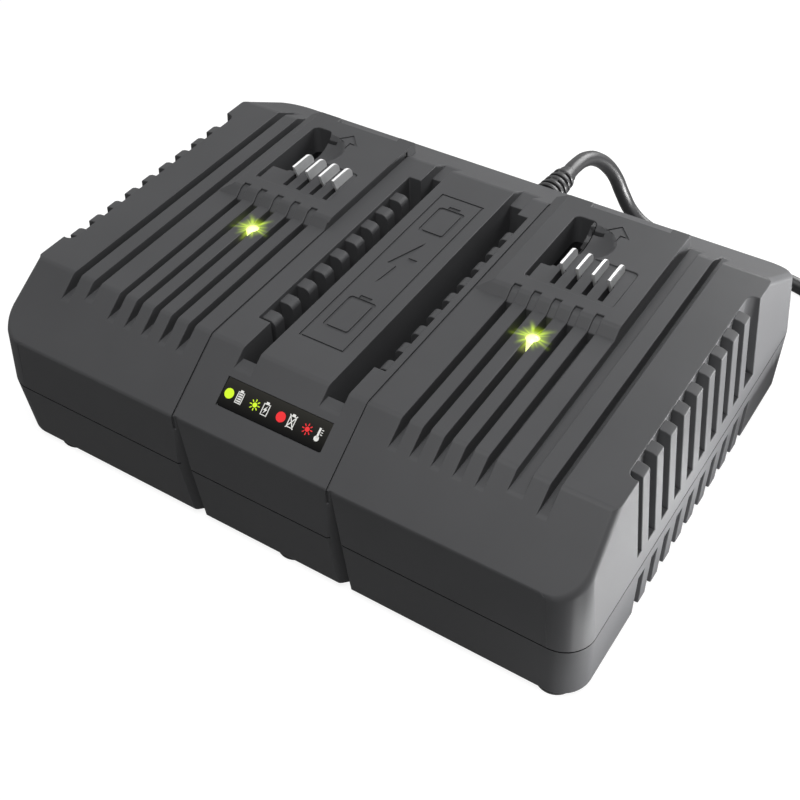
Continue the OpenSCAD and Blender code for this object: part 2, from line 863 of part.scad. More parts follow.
module lamp_lens(side) {
    top = tray_h - 1;
    r = lens_d / 2 - 0.05;
    color(lamp_green) translate([bay_x(side), -lens_back, 0]) {
        translate([0, 0, ceiling_h - 2]) cylinder(r = lens_d * 0.75, h = 1.9);
        translate([0, 0, ceiling_h - 2]) cylinder(r = r, h = top - ceiling_h + 2);
        translate([0, 0, top]) intersection() {
            translate([0, 0, -r]) sphere(r = r * sqrt(2));
            cylinder(r = r, h = r);
        }
    }
}

module left_lamp_lens() lamp_lens(0);

module right_lamp_lens() lamp_lens(1);

module indicator_boards() {
    color(board_green) for (side = [0, 1])
        translate([bay_x(side), -lens_back, indicator_h]) difference() {
            translate([-indicator_size[0] / 2, -indicator_size[1] / 2, 0]) cube(indicator_size);
            translate([0, 0, -1]) cylinder(r = indicator_hole_r, h = 4);
        }
}

module indicator_leds() {
    base = indicator_h + indicator_size[2];
    color([0.85, 0.95, 0.6]) for (side = [0, 1])
        translate([bay_x(side), -lens_back, base]) {
            cylinder(r = led_r, h = led_h);
            cylinder(r = led_r + led_flange[0], h = led_flange[1]);
            translate([0, 0, led_h]) intersection() {
                sphere(r = led_r);
                cylinder(r = 2 * led_r, h = led_r + 1);
            }
        }
}

module status_label() {
    color([0.03, 0.03, 0.03]) on_front_slope()
        translate([0, 0, -label_t]) linear_extrude(label_t - 0.3)
            rounded_rect([0.15, 0.15] - label_size / 2, label_size / 2 - [0.15, 0.15], 1);
}

// Main board and electronics

module main_board() {
    color(board_green) difference() {
        box([-board_x, -board_y, board_h], [board_x, board_y, deck]);
        for (spot = post_spots)
            translate([spot[0], spot[1], board_h - 1]) cylinder(r = board_hole_r, h = board_t + 2);
    }
}

module board_screws() {
    color(steel_grey) for (spot = post_spots)
        translate([spot[0], spot[1], deck + small_screw[1]])
            mirror([0, 0, 1]) small_pan_screw(board_screw_len);
}

core_size = [38, 32, 26];
core_spot = [-2, -14];
core_limb = 5.5;
winding_gap = 0.3;
winding_out = 5;

module transformer_core() {
    color(ferrite) translate([core_spot[0], core_spot[1], deck]) difference() {
        translate([-core_size[0] / 2, -core_size[1] / 2, 0]) cube(core_size);
        translate([0, 0, core_limb]) difference() {
            box([core_limb - core_size[0] / 2, -core_size[1], 0],
                [core_size[0] / 2 - core_limb, core_size[1], core_size[2] - 2 * core_limb]);
            box([-core_limb, -core_size[1], -1], [core_limb, core_size[1], core_size[2]]);
        }
    }
}

module transformer_winding() {
    inset = core_limb + winding_gap;
    half = [core_size[0] / 2 - inset, core_size[1] / 2 + winding_out];
    hole = [core_limb + 0.2, core_size[1] / 2 + 0.2];
    color(copper) translate([core_spot[0], core_spot[1], deck + inset]) difference() {
        rounded_box([-half[0], -half[1], 0], [half[0], half[1], core_size[2] - 2 * inset], 3);
        box([-hole[0], -hole[1], -1], [hole[0], hole[1], core_size[2]]);
    }
}

module can(r, h) {
    rotate_extrude() polygon([
        [0, 0], [r, 0], [r, h * 0.12], [r - 0.5, h * 0.15], [r, h * 0.18],
        [r, h - 0.8], [r - 0.8, h], [0, h]
    ]);
}

bulk_spots = [[-40, 47], [-59, 47]];
bulk_can = [9, 29];

module bulk_capacitors() {
    color([0.1, 0.12, 0.2]) for (spot = bulk_spots)
        translate([spot[0], spot[1], deck]) can(bulk_can[0], bulk_can[1]);
}

output_spots = [[-32, -44], [-20, -44], [22, -44], [34, -44]];
output_can = [5, 20];

module output_capacitors() {
    color([0.12, 0.1, 0.09]) for (spot = output_spots)
        translate([spot[0], spot[1], deck]) can(output_can[0], output_can[1]);
}

filter_cap_spot = [-22, 46, deck];
filter_cap_size = [26, 11, 18];

module filter_capacitor() {
    color([0.75, 0.62, 0.2]) translate(filter_cap_spot) cube(filter_cap_size);
}

module toroid(ring) {
    rotate_extrude() translate([ring[0], ring[2] / 2]) square([ring[1], ring[2]], center = true);
}

module toroid_winding(ring) {
    w = ring[1];
    h = ring[2];
    for (k = [0 : turn_count - 1])
        rotate(k * 360 / turn_count) translate([ring[0], 0, 0]) rotate([90, 0, 0])
            linear_extrude(wire_t, center = true) difference() {
                rounded_rect([-w / 2 - wire_out, -0.9], [w / 2 + wire_out, h + wire_out], 1);
                square([w + 0.2, 2 * h + 0.2], center = true);
                translate([-w / 2 - 0.1, -0.1]) square([w + 0.2, h + 0.2]);
            }
}

// Chokes: middle radius, wall and height of the core
filter_ring = [8, 5, 10];
output_ring = [7, 4.4, 8];
turn_count = 12;
wire_t = 1.1;
wire_out = 1.3;
choke_spot = [34, 48, deck + 1];

module filter_choke_core() {
    color(ferrite) translate(choke_spot) toroid(filter_ring);
}

module filter_choke_winding() {
    color(copper) translate(choke_spot) toroid_winding(filter_ring);
}

output_choke_spots = [[-50, -46, deck + 1], [52, -46, deck + 1]];

module output_choke_cores() {
    color([0.8, 0.75, 0.25]) for (spot = output_choke_spots)
        translate(spot) toroid(output_ring);
}

module output_choke_windings() {
    color(copper) for (spot = output_choke_spots)
        translate(spot) toroid_winding(output_ring);
}

sink_t = 3;
sink_fin_out = 12;
sink_x = board_x - sink_fin_out;
sink_y = [-34, 30];
sink_h = 30;
sink_fin_pitch = 5.2;
sink_fin_t = 1.6;

module heat_sink() {
    color([0.75, 0.76, 0.78]) {
        box([sink_x, sink_y[0], deck], [sink_x + sink_t, sink_y[1], deck + sink_h]);
        for (k = [0 : 5])
            translate([0, 0, deck + 2 + k * sink_fin_pitch])
                box([sink_x + sink_t - 0.1, sink_y[0], 0], [sink_x + sink_fin_out, sink_y[1], sink_fin_t]);
    }
}

module left_heat_sink() mirror([1, 0, 0]) heat_sink();

module right_heat_sink() heat_sink();

// A power transistor: moulded body and tab, as depth, half its width and height, and its legs
package_body = [3.3, 5, 9];
package_tab = [1.3, 5, 15];
package_rise = 5;
package_ys = [-26, -8, 10];
leg_half = [0.3, 0.4];
leg_pitch = 2.5;
leg_x = 3;

module power_transistors() {
    tab = package_tab[0];
    color([0.1, 0.1, 0.1]) for (x_flip = [false, true], y = package_ys)
        flip_if(x_flip, [1, 0, 0]) translate([sink_x, y, deck]) {
            box([-tab - package_body[0], -package_body[1], package_rise],
                [-tab, package_body[1], package_rise + package_body[2]]);
            box([-tab, -package_tab[1], package_rise],
                [0, package_tab[1], package_rise + package_tab[2]]);
            for (dy = [-leg_pitch, 0, leg_pitch])
                box([-leg_x - leg_half[0], dy - leg_half[1], 0],
                    [-leg_x + leg_half[0], dy + leg_half[1], package_rise + 0.1]);
        }
}

// The bridge rectifier: size of its body, how far it stands off the board, and its legs
bridge_spot = [board_x - 40, 34, deck];
bridge_size = [18, 4, 14];
bridge_rise = 3;
bridge_leg = 0.8;
bridge_leg_pitch = 4.4;

module bridge_rectifier() {
    color([0.12, 0.12, 0.12]) translate(bridge_spot) {
        translate([0, 0, bridge_rise]) cube(bridge_size);
        for (k = [0 : 3])
            translate([2 + k * bridge_leg_pitch, (bridge_size[1] - bridge_leg) / 2, 0])
                cube([bridge_leg, bridge_leg, bridge_rise + 0.1]);
    }
}

fuse_spot = [8, 36, deck + 6];
fuse_r = 2.4;
fuse_len = 20;
fuse_cap_r = 2.6;
fuse_cap_len = 5.4;
fuse_cap_x = 7.2;
clip_half = [2, 3.2];
clip_h = 8;

module fuse() {
    color([0.85, 0.88, 0.9]) translate(fuse_spot) rotate([0, 90, 0]) {
        cylinder(r = fuse_r, h = fuse_len, center = true);
        for (x = [-fuse_cap_x, fuse_cap_x])
            translate([0, 0, x]) cylinder(r = fuse_cap_r, h = fuse_cap_len, center = true);
    }
}

module fuse_clips() {
    axis_h = fuse_spot[2] - deck;
    color(steel_grey) for (x = [-fuse_cap_x, fuse_cap_x])
        translate([fuse_spot[0] + x, fuse_spot[1], deck]) difference() {
            box([-clip_half[0], -clip_half[1], 0], [clip_half[0], clip_half[1], clip_h]);
            translate([-5, 0, axis_h]) rotate([0, 90, 0]) cylinder(r = fuse_cap_r, h = 10);
            box([-5, -2, axis_h], [5, 2, 20]);
        }
}

chip_spots = [[-26, 12, 10], [22, 12, 10], [26, -22, 8], [-30, -22, 8], [8, 22, 7]];

chip_half = 3.5;
chip_h = [0.3, 3];
pin_half = [0.3, 0.8];
pin_h = 1.2;

module control_chips() {
    color([0.08, 0.08, 0.09]) for (spot = chip_spots)
        translate([spot[0], spot[1], deck]) {
            box([-spot[2] / 2, -chip_half, chip_h[0]], [spot[2] / 2, chip_half, chip_h[1]]);
            for (k = [0 : 3], s = [-1, 1])
                translate([(k - 1.5) * spot[2] / 4, s * (chip_half + 0.5), 0])
                    box([-pin_half[0], -pin_half[1], 0], [pin_half[0], pin_half[1], pin_h]);
        }
}

header_h = 10;
header_out = [4, 5];
mains_header_half = [6, 4];
wire_y = 28;
bay_wire_r = 1.6;
mains_wire_r = 1.3;
mains_wire_x = 2.4;

module terminal_headers() {
    color([0.9, 0.88, 0.8]) for (side = [0, 1])
        translate([bay_x(side) + first_blade + blade_shift[side], wire_y, deck])
            box([-header_out[0], -header_out[1], 0],
                [header_out[0] + (blade_count - 1) * blade_pitch, header_out[1], header_h]);
}

module bay_wires(side) {
    color([0.75, 0.1, 0.1]) for (x = blade_xs(side))
        translate([bay_x(side) + x, wire_y, deck + header_h])
            difference() {
                cylinder(r = bay_wire_r, h = blade_tail_h + 3 - deck - header_h);
                box([-blade_t / 2, -5, blade_tail_h - deck - header_h], [blade_t / 2, 5, 40]);
            }
}

module left_bay_wires() bay_wires(0);

module right_bay_wires() bay_wires(1);

mains_y = rear_crease + 2.3;
mains_bend = 8;

module mains_header() {
    color([0.9, 0.88, 0.8]) translate([exit_x, mains_y, deck])
        box([-mains_header_half[0], -mains_header_half[1], 0],
            [mains_header_half[0], mains_header_half[1], header_h]);
}

module mains_wires() {
    top = exit_h - mains_bend;
    color([0.1, 0.15, 0.45]) for (dx = [-mains_wire_x, mains_wire_x])
        translate([exit_x + dx, mains_y, 0]) {
            translate([0, 0, deck + header_h]) cylinder(r = mains_wire_r, h = top - deck - header_h);
            translate([0, mains_bend, top]) rotate([90, 0, -90])
                rotate_extrude(angle = 90) translate([mains_bend, 0]) circle(mains_wire_r);
            translate([0, mains_bend, exit_h]) rotate([-90, 0, 0])
                cylinder(r = mains_wire_r, h = exit_boss_y - collar_t - mains_y - mains_bend);
        }
}

// Cord and plug

module strain_relief() {
    neck = half_d + 0.2 - exit_boss_y + collar_t;
    neck_r = exit_hole_r - 0.1;
    length = exit_y - exit_boss_y + collar_t;
    color(rubber_black) translate([exit_x, exit_boss_y - collar_t, exit_h])
        rotate([-90, 0, 0]) rotate_extrude() polygon(concat(
            [[0, 0], [exit_collar_r, 0], [exit_collar_r, collar_t], [neck_r, collar_t], [neck_r, neck]],
            [
                for (k = [0 : ring_count - 1])
                    let (
                        outer = ring_outer[0] - ring_outer[1] * k,
                        inner = ring_inner[0] - ring_inner[1] * k,
                        at = neck + ring_pitch * k
                    )
                        for (p = [[outer, at], [outer, at + ring_t], [inner, at + ring_t],
                                [inner, at + ring_pitch - 0.01]]) p
            ],
            [[cord_d / 2 + 0.5, length], [0, length]]
        ));
}

module power_cord() {
    color(rubber_black) swept_tube(cord_route, cord_d / 2, 12);
}

module coil_section(extra) {
    translate([coil_mid_r, coil_h]) circle(ring_r + extra);
}

module cord_coil() {
    color(rubber_black) translate([coil_x, coil_y, 0]) rotate_extrude($fn = 96) coil_section(0);
}

module cord_tail() {
    color(rubber_black) swept_tube(tail_route, cord_d / 2, 12);
}

tie_t = 0.9;
tie_turn = 18;

module cord_tie() {
    color([0.12, 0.12, 0.13]) translate([coil_x, coil_y, 0]) rotate(210)
        rotate_extrude(angle = tie_turn, $fn = 96) difference() {
            coil_section(tie_t);
            coil_section(0.05);
        }
}

plug_size = [26, 32, 18];
plug_edge_r = 5;
plug_shoulder = 14;
// Neck of the plug: radius at the cord, radius at the body, and length
plug_neck = [4.2, 5.6, 12];
plug_neck_out = 8;
prong_size = [1.5, 27, 6.4];
prong_pitch = 12.7;
prong_sunk = 10;

module plug_body() {
    half = plug_size / 2;
    color(rubber_black) translate([tail_x, plug_y, plug_h]) difference() {
        union() {
            translate([0, -half[1] - plug_neck_out, 0]) intersection() {
                across_y(plug_size[1])
                    rounded_rect([-half[0], -half[2]], [half[0], half[2]], plug_edge_r);
                linear_extrude(2 * plug_size[2], center = true) polygon([
                    [-half[0], -half[1]], [half[0], -half[1]], [half[0], half[1] - plug_shoulder],
                    [half[0] / 2, half[1]], [-half[0] / 2, half[1]],
                    [-half[0], half[1] - plug_shoulder]
                ]);
            }
            rotate([90, 0, 0]) cylinder(r1 = plug_neck[0], r2 = plug_neck[1], h = plug_neck[2]);
        }
        prong_pair();
    }
}

module prong_pair() {
    face = -plug_size[1] - plug_neck_out;
    for (x = [-prong_pitch / 2, prong_pitch / 2])
        translate([x, face + prong_sunk - prong_size[1] / 2, 0]) cube(prong_size, center = true);
}

module plug_prongs() {
    color(steel_grey) translate([tail_x, plug_y, plug_h]) prong_pair();
}

upper_housing();
lower_housing();
rubber_feet();
housing_screws();
left_terminal_block();
right_terminal_block();
left_blades();
right_blades();
terminal_screws();
left_lamp_lens();
right_lamp_lens();
indicator_boards();
indicator_leds();
status_label();
main_board();
board_screws();
transformer_core();
transformer_winding();
bulk_capacitors();
output_capacitors();
filter_capacitor();
filter_choke_core();
filter_choke_winding();
output_choke_cores();
output_choke_windings();
left_heat_sink();
right_heat_sink();
power_transistors();
bridge_rectifier();
fuse();
fuse_clips();
control_chips();
terminal_headers();
left_bay_wires();
right_bay_wires();
mains_header();
mains_wires();
strain_relief();
power_cord();
cord_coil();
cord_tail();
cord_tie();
plug_body();
plug_prongs();
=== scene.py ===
import math

import bmesh
import bpy
from bpy.props import FloatProperty, FloatVectorProperty, PointerProperty
from mathutils import Matrix, Vector
from mathutils.bvhtree import BVHTree


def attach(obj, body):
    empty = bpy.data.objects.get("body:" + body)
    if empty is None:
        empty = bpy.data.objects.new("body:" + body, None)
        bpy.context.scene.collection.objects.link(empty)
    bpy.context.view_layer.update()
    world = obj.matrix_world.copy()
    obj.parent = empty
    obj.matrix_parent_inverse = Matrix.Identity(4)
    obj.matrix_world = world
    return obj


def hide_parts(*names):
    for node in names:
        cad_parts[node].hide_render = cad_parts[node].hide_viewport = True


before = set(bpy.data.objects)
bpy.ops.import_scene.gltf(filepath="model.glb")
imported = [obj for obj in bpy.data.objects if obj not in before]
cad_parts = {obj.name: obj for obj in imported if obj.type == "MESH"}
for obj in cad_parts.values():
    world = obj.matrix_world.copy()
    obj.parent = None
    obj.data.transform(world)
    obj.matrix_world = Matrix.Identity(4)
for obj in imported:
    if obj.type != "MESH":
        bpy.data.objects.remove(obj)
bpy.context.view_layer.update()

bl_info = {
    "name": "Twin Battery Charger",
    "version": (1, 0, 0),
    "blender": (4, 5, 0),
    "location": "View3D > Sidebar > Charger",
    "description": "Finishes a twin charger for slide-on tool batteries around its construction",
    "category": "Add Mesh",
}

MM = 0.001
ROOT = "root"


def mm(*values):
    """Millimetres as a vector in metres."""
    return Vector(values) * MM


def colour(name, text, default):
    """A colour that the user can change."""
    return FloatVectorProperty(
        name=name, description=text, default=default, subtype="COLOR", size=3, min=0, max=1
    )


def length(name, text, millimetres):
    """A length that the user can change."""
    return FloatProperty(
        name=name, description=text, default=millimetres * MM, unit="LENGTH", min=0, precision=5
    )


# Places on the charger, in millimetres
TRAY_H = 70.1
EDGE_H = 52.0
PART_H = 29.3
BASE_H = 3.0
HALF_D = 91.0
FRONT_CREASE = -64.5
SEAMS = (-34.3, 29.0)
BAY_X = 58.7
LENS_Y = -10.8
LABEL_SIZE = (42.3, 10.2)
LABEL_BACK = 77.6
LABEL_FOOT = 57.9
LABEL_TOP = 63.8
SLOPE_RUN = 25.6
SLOPE = math.atan((TRAY_H - EDGE_H) / SLOPE_RUN)
# Rounding of every screw's and every board's edges, in metres
SCREW_EDGE = 0.0002
BOARD_EDGE = 0.0002


# Settings


class CaseSettings(bpy.types.PropertyGroup):
    """Colours and edge sizes of the moulded shells."""

    tint: colour("Shell", "Charcoal plastic of both shells", (0.06, 0.0605, 0.063))
    # Painted shade: a darker copy of the shell plastic, put on the latch pockets and inside the parting
    # groove
    painted_shade_tint: colour("Pockets", "Shaded plastic inside the latch pockets", (0.014, 0.014, 0.015))
    edge: length("Edge", "Rounding of grooves, ribs and vents", 0.35)
    rim: length("Rim", "Rounding along the sides of the slopes", 2.4)
    front: length("Front", "Rounding of the front, rear and bottom edges", 1.0)
    crease: length("Crease", "Rounding where the slopes meet the tray", 1.2)


class CordSettings(bpy.types.PropertyGroup):
    """Sizes and colour of the mains lead."""

    tint: colour("Sheath", "Black sheath of the lead and plug", (0.014, 0.014, 0.015))
    diameter: length("Diameter", "Outside diameter of the sheath", 6.5)


class LampSettings(bpy.types.PropertyGroup):
    """The charge lamps and the status panel."""

    glow: colour("Glow", "Light of the charge lamps", (0.55, 0.8, 0.02))
    ready: colour("Ready", "Green signs on the status panel", (0.46, 0.66, 0.012))
    fault: colour("Fault", "Red signs on the status panel", (0.68, 0.012, 0.016))
    spill: length("Spill", "How far a lamp's light reaches over the case", 7.5)


GROUPS = {
    "charger_case": CaseSettings,
    "charger_cord": CordSettings,
    "charger_lamps": LampSettings,
}


# Shader nodes


def add(tree, kind, **settings):
    """A node with its properties and, where the key names a socket, its values set."""
    node = tree.nodes.new("ShaderNode" + kind)
    for key, value in settings.items():
        if hasattr(node, key):
            setattr(node, key, value)
        else:
            feed(tree, value, node.inputs[key.replace("_", " ")])
    return node


def feed(tree, value, socket):
    """Sets a socket to a plain value, or links it to a (node, output) pair."""
    if isinstance(value, tuple) and isinstance(value[0], bpy.types.Node):
        tree.links.new(value[0].outputs[value[1]], socket)
    else:
        socket.default_value = value


def calc(tree, operation, *values):
    """The result of a Math node on numbers and (node, output) pairs."""
    node = add(tree, "Math", operation=operation)
    for value, socket in zip(values, node.inputs):
        feed(tree, value, socket)
    return node, 0


def spread(tree, value, low, high, start=0.0, end=1.0):
    """A value between start and end moved to between low and high."""
    node = add(
        tree, "MapRange", Value=value, From_Min=start, From_Max=end, To_Min=low, To_Max=high
    )
    return node, 0


def blend(tree, factor, first, second):
    """A colour between two colours."""
    node = add(tree, "Mix", data_type="RGBA")
    for value, socket in ((factor, 0), (first, 6), (second, 7)):
        feed(tree, value, node.inputs[socket])
    return node, 2


def node_group(name, inputs, outputs):
    """An empty shader node group with its sockets, and its two end nodes."""
    tree = bpy.data.node_groups.new(name, "ShaderNodeTree")
    for label, kind, default in inputs:
        socket = tree.interface.new_socket(label, in_out="INPUT", socket_type="NodeSocket" + kind)
        socket.default_value = default
    for label in outputs:
        tree.interface.new_socket(label, in_out="OUTPUT", socket_type="NodeSocketFloat")
    return tree, tree.nodes.new("NodeGroupInput"), tree.nodes.new("NodeGroupOutput")


def place_of(tree):
    """Where a point lies on the charger."""
    return add(tree, "TexCoord"), "Object"


SURFACE_OUTPUTS = ("Height", "Shade", "Gloss")


def close_group(tree, end, values):
    """Links a group's results to its outputs, in order, and returns the group."""
    for value, socket in zip(values, end.inputs):
        feed(tree, value, socket)
    return tree


def moulded_grain():
    """Spark-eroded mould texture: fine pits, and a slow drift in shade."""
    inputs = (("Grain", "Float", 2600.0), ("Drift", "Float", 0.06))
    tree, start, end = node_group("Moulded grain", inputs, SURFACE_OUTPUTS)
    place = place_of(tree)
    pits = add(
        tree, "TexVoronoi", feature="SMOOTH_F1", Smoothness=0.6, Scale=(start, "Grain"), Vector=place
    )
    double = calc(tree, "MULTIPLY", (start, "Grain"), 2.1)
    fine = add(tree, "TexNoise", Detail=3.0, Roughness=0.6, Scale=double, Vector=place)
    height = calc(tree, "MULTIPLY_ADD", (pits, "Distance"), 0.6, (fine, 0))
    slow = add(tree, "TexNoise", Scale=26.0, Detail=4.0, Roughness=0.55, Vector=place)
    low = calc(tree, "SUBTRACT", 1.0, (start, "Drift"))
    high = calc(tree, "ADD", 1.0, (start, "Drift"))
    shade = spread(tree, (slow, 0), low, high, 0.3, 0.7)
    gloss = spread(tree, (fine, 0), -0.05, 0.05)
    return close_group(tree, end, (height, shade, gloss))


def brushed_metal():
    """Fine drawn lines along one direction, and faint stains."""
    inputs = (("Lines", "Vector", (300.0, 300.0, 9000.0)),)
    tree, start, end = node_group("Brushed metal", inputs, SURFACE_OUTPUTS)
    place = place_of(tree)
    stretch = add(tree, "VectorMath", operation="MULTIPLY")
    feed(tree, place, stretch.inputs[0])
    feed(tree, (start, "Lines"), stretch.inputs[1])
    lines = add(tree, "TexNoise", Scale=1.0, Detail=4.0, Roughness=0.7, Vector=(stretch, 0))
    stains = add(tree, "TexNoise", Scale=240.0, Detail=3.0, Vector=place)
    shade = spread(tree, (stains, 0), 0.86, 1.08)
    gloss = spread(tree, (lines, 0), -0.08, 0.1)
    return close_group(tree, end, ((lines, 0), shade, gloss))


def board_tracks():
    """Copper tracks under a board's varnish: raised and lighter lines on a square grid."""
    inputs = (("Pitch", "Float", 420.0),)
    tree, start, end = node_group("Board tracks", inputs, SURFACE_OUTPUTS)
    cells = add(
        tree, "TexVoronoi", distance="MANHATTAN", feature="F1", Scale=(start, "Pitch"),
        Randomness=0.75, Vector=place_of(tree),
    )
    band = calc(tree, "PINGPONG", (cells, "Distance"), 0.22)
    track = calc(tree, "GREATER_THAN", band, 0.12)
    shade = spread(tree, track, 0.75, 1.7)
    gloss = spread(tree, track, 0.05, -0.05)
    return close_group(tree, end, (track, shade, gloss))


def woven_loops():
    """Short looped pile in rows, as on a hook-and-loop strap."""
    inputs = (("Rows", "Float", 900.0),)
    tree, start, end = node_group("Woven loops", inputs, SURFACE_OUTPUTS)
    place = place_of(tree)
    rows = add(tree, "TexVoronoi", feature="F1", Scale=(start, "Rows"), Randomness=0.45, Vector=place)
    dust = add(tree, "TexNoise", Scale=350.0, Detail=3.0, Vector=place)
    shade = spread(tree, (rows, "Distance"), 1.5, 0.5)
    gloss = spread(tree, (dust, 0), -0.05, 0.05)
    return close_group(tree, end, ((rows, "Distance"), shade, gloss))


def wound_wire():
    """Turns of enamelled wire lying side by side, ringed round the upright."""
    inputs = (("Turns", "Float", 1500.0),)
    tree, start, end = node_group("Wound wire", inputs, SURFACE_OUTPUTS)
    place = place_of(tree)
    turns = add(
        tree, "TexWave", bands_direction="Z", wave_profile="SIN", Scale=(start, "Turns"),
        Distortion=0.4, Detail=1.0, Vector=place,
    )
    dull = add(tree, "TexNoise", Scale=500.0, Detail=2.0, Vector=place)
    shade = spread(tree, (turns, 1), 0.45, 1.15)
    gloss = spread(tree, (dull, 0), -0.05, 0.1)
    return close_group(tree, end, ((turns, 1), shade, gloss))


# How the spill leans below the tray: its change over a metre to the side, and its value at x = 0
SPILL_LEAN = (-3.61, 0.7)
# Rays of the spill: their count, turn, sharpness and reach
SPILL_RAYS = ((6, 0.3, 9.0, 1.0), (9, 1.1, 12.0, 0.85), (5, 2.0, 16.0, 1.2))
# How far below the tray the spill still shows, in millimetres
SPILL_DEPTH = 7


def lamp_spill():
    """The light that both charge lamps throw on the case, painted as glow: a bright middle and thin
    rays.
    """
    inputs = (("Reach", "Float", 0.0075),)
    tree, start, end = node_group("Lamp spill", inputs, ("Spill", "Core"))
    parts = add(tree, "SeparateXYZ", Vector=place_of(tree))
    depth = calc(tree, "SUBTRACT", TRAY_H * MM, (parts, 2))
    lean = calc(tree, "MULTIPLY_ADD", (parts, 0), *SPILL_LEAN)
    side = calc(tree, "MULTIPLY_ADD", depth, lean, (parts, 0))
    back = calc(tree, "MULTIPLY_ADD", depth, -1.0, (parts, 1))
    across = calc(tree, "SUBTRACT", calc(tree, "ABSOLUTE", side), BAY_X * MM)
    along = calc(tree, "SUBTRACT", back, LENS_Y * MM)
    square = calc(tree, "MULTIPLY_ADD", across, across, calc(tree, "MULTIPLY", along, along))
    radius = calc(tree, "DIVIDE", calc(tree, "SQRT", square), (start, "Reach"))
    angle = calc(tree, "ARCTAN2", along, across)
    rays = []
    for count, turn, sharp, reach in SPILL_RAYS:
        wave = calc(tree, "COSINE", calc(tree, "MULTIPLY_ADD", angle, float(count), turn))
        thin = calc(tree, "POWER", spread(tree, wave, 0.0, 1.0, -1.0, 1.0), sharp)
        painted_light_ramp = calc(tree, "POWER", spread(tree, radius, 1.0, 0.0, 0.0, reach), 1.2)
        rays.append(calc(tree, "MULTIPLY", thin, painted_light_ramp))
    halo = calc(tree, "POWER", spread(tree, radius, 1.25, 0.0, 0.0, 0.82), 1.5)
    total = calc(tree, "ADD", calc(tree, "ADD", rays[0], rays[1]), calc(tree, "ADD", rays[2], halo))
    above = calc(tree, "GREATER_THAN", (parts, 2), (TRAY_H - SPILL_DEPTH) * MM)
    spill = calc(tree, "MINIMUM", calc(tree, "MULTIPLY", total, above), 1.0)
    core = calc(tree, "POWER", spread(tree, radius, 1.0, 0.0, 0.0, 0.42), 1.3)
    return close_group(tree, end, (spill, core))


EFFECTS = {}


def effect(tree, maker, **values):
    """Places the node group that a maker builds, which is built once."""
    if maker not in EFFECTS:
        EFFECTS[maker] = maker()
    node = tree.nodes.new("ShaderNodeGroup")
    node.node_tree = EFFECTS[maker]
    for key, value in values.items():
        node.inputs[key].default_value = value
    return node


def surface(name, base, roughness, maker=moulded_grain, bump=0.0, depth=0.00002, group=None, **sockets):
    """A material whose colour and roughness vary with a shared effect.

    base is the colour before the effect's shade, bump the strength of its height, group the
    values of the effect's own inputs, and sockets plain values of the shader's sockets.
    """
    material = bpy.data.materials.new(name)
    material.use_nodes = True
    tree = material.node_tree
    shader = tree.nodes["Principled BSDF"]
    for key, value in sockets.items():
        shader.inputs[key.replace("_", " ")].default_value = value
    vary = effect(tree, maker, **(group or {}))
    tint = add(tree, "VectorMath", operation="SCALE", Scale=(vary, "Shade"))
    tint.inputs[0].default_value = base
    feed(tree, (tint, 0), shader.inputs["Base Color"])
    feed(tree, calc(tree, "ADD", (vary, "Gloss"), roughness), shader.inputs["Roughness"])
    if bump:
        relief = add(tree, "Bump", Strength=bump, Distance=depth, Height=(vary, "Height"))
        feed(tree, (relief, 0), shader.inputs["Normal"])
    return material


def metal(name, base, roughness, lines=(300.0, 300.0, 9000.0), bump=0.15, **sockets):
    """A bare or plated metal with drawn lines."""
    group = {"Lines": lines}
    return surface(name, base, roughness, brushed_metal, bump, 0.00001, group, Metallic=1.0, **sockets)


def shell_plastic(case, lamps):
    """The charcoal plastic of the shells, with the lamps' light painted into its emission where it
    falls on them.
    """
    material = surface(
        "Charcoal plastic", case.tint, 0.5, bump=0.1, Specular_IOR_Level=0.2, Emission_Strength=0.9
    )
    tree = material.node_tree
    spill = effect(tree, lamp_spill, Reach=lamps.spill)
    halo = blend(tree, (spill, "Spill"), (0.0, 0.0, 0.0, 1.0), (*lamps.glow, 1.0))
    white = blend(tree, (spill, "Core"), halo, (1.0, 1.0, 0.5, 1.0))
    # Painted glow: the lamps' light on the case is given as emission of the plastic
    feed(tree, white, tree.nodes["Principled BSDF"].inputs["Emission Color"])
    return material


def lit(name, base, glow, strength):
    """A lens lit from behind: nearly white in the middle and deeper towards its rim."""
    material = surface(name, base, 0.2, group={"Drift": 0.02}, Emission_Strength=strength)
    tree = material.node_tree
    edge = add(tree, "LayerWeight", Blend=0.3)
    light = blend(tree, (edge, "Facing"), (1.0, 1.0, 0.5, 1.0), (*glow, 1.0))
    feed(tree, light, tree.nodes["Principled BSDF"].inputs["Emission Color"])
    return material


# Mesh helpers


def finish(obj, materials, replaces=()):
    """Gives a new piece its materials and body, and hides the CAD parts that it stands for."""
    for material in materials if isinstance(materials, (list, tuple)) else (materials,):
        obj.data.materials.append(material)
    if obj.name not in bpy.context.scene.collection.objects:
        bpy.context.scene.collection.objects.link(obj)
    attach(obj, ROOT)
    if replaces:
        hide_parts(*replaces)
    return obj


def dress(node, material):
    """Gives a CAD node a material of its own."""
    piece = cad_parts[node]
    piece.data.materials.clear()
    piece.data.materials.append(material)
    return piece


def mesh_object(name, bm):
    """Writes a bmesh into a new smooth-shaded object at the origin."""
    for face in bm.faces:
        face.smooth = True
    mesh = bpy.data.meshes.new(name)
    bm.to_mesh(mesh)
    bm.free()
    return bpy.data.objects.new(name, mesh)


# Corners closer than this are one corner, and faces that turn less than this are one face
MERGE = 2e-6
FLAT = math.radians(0.7)


def solid_copy(node):
    """A bmesh of a CAD node with its triangles merged into whole faces."""
    bm = bmesh.new()
    bm.from_mesh(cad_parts[node].data)
    bmesh.ops.remove_doubles(bm, verts=bm.verts, dist=MERGE)
    bmesh.ops.dissolve_degenerate(bm, dist=MERGE, edges=bm.edges)
    bmesh.ops.dissolve_limit(
        bm, angle_limit=FLAT, verts=bm.verts, edges=bm.edges, use_dissolve_boundaries=False
    )
    bm.normal_update()
    return bm


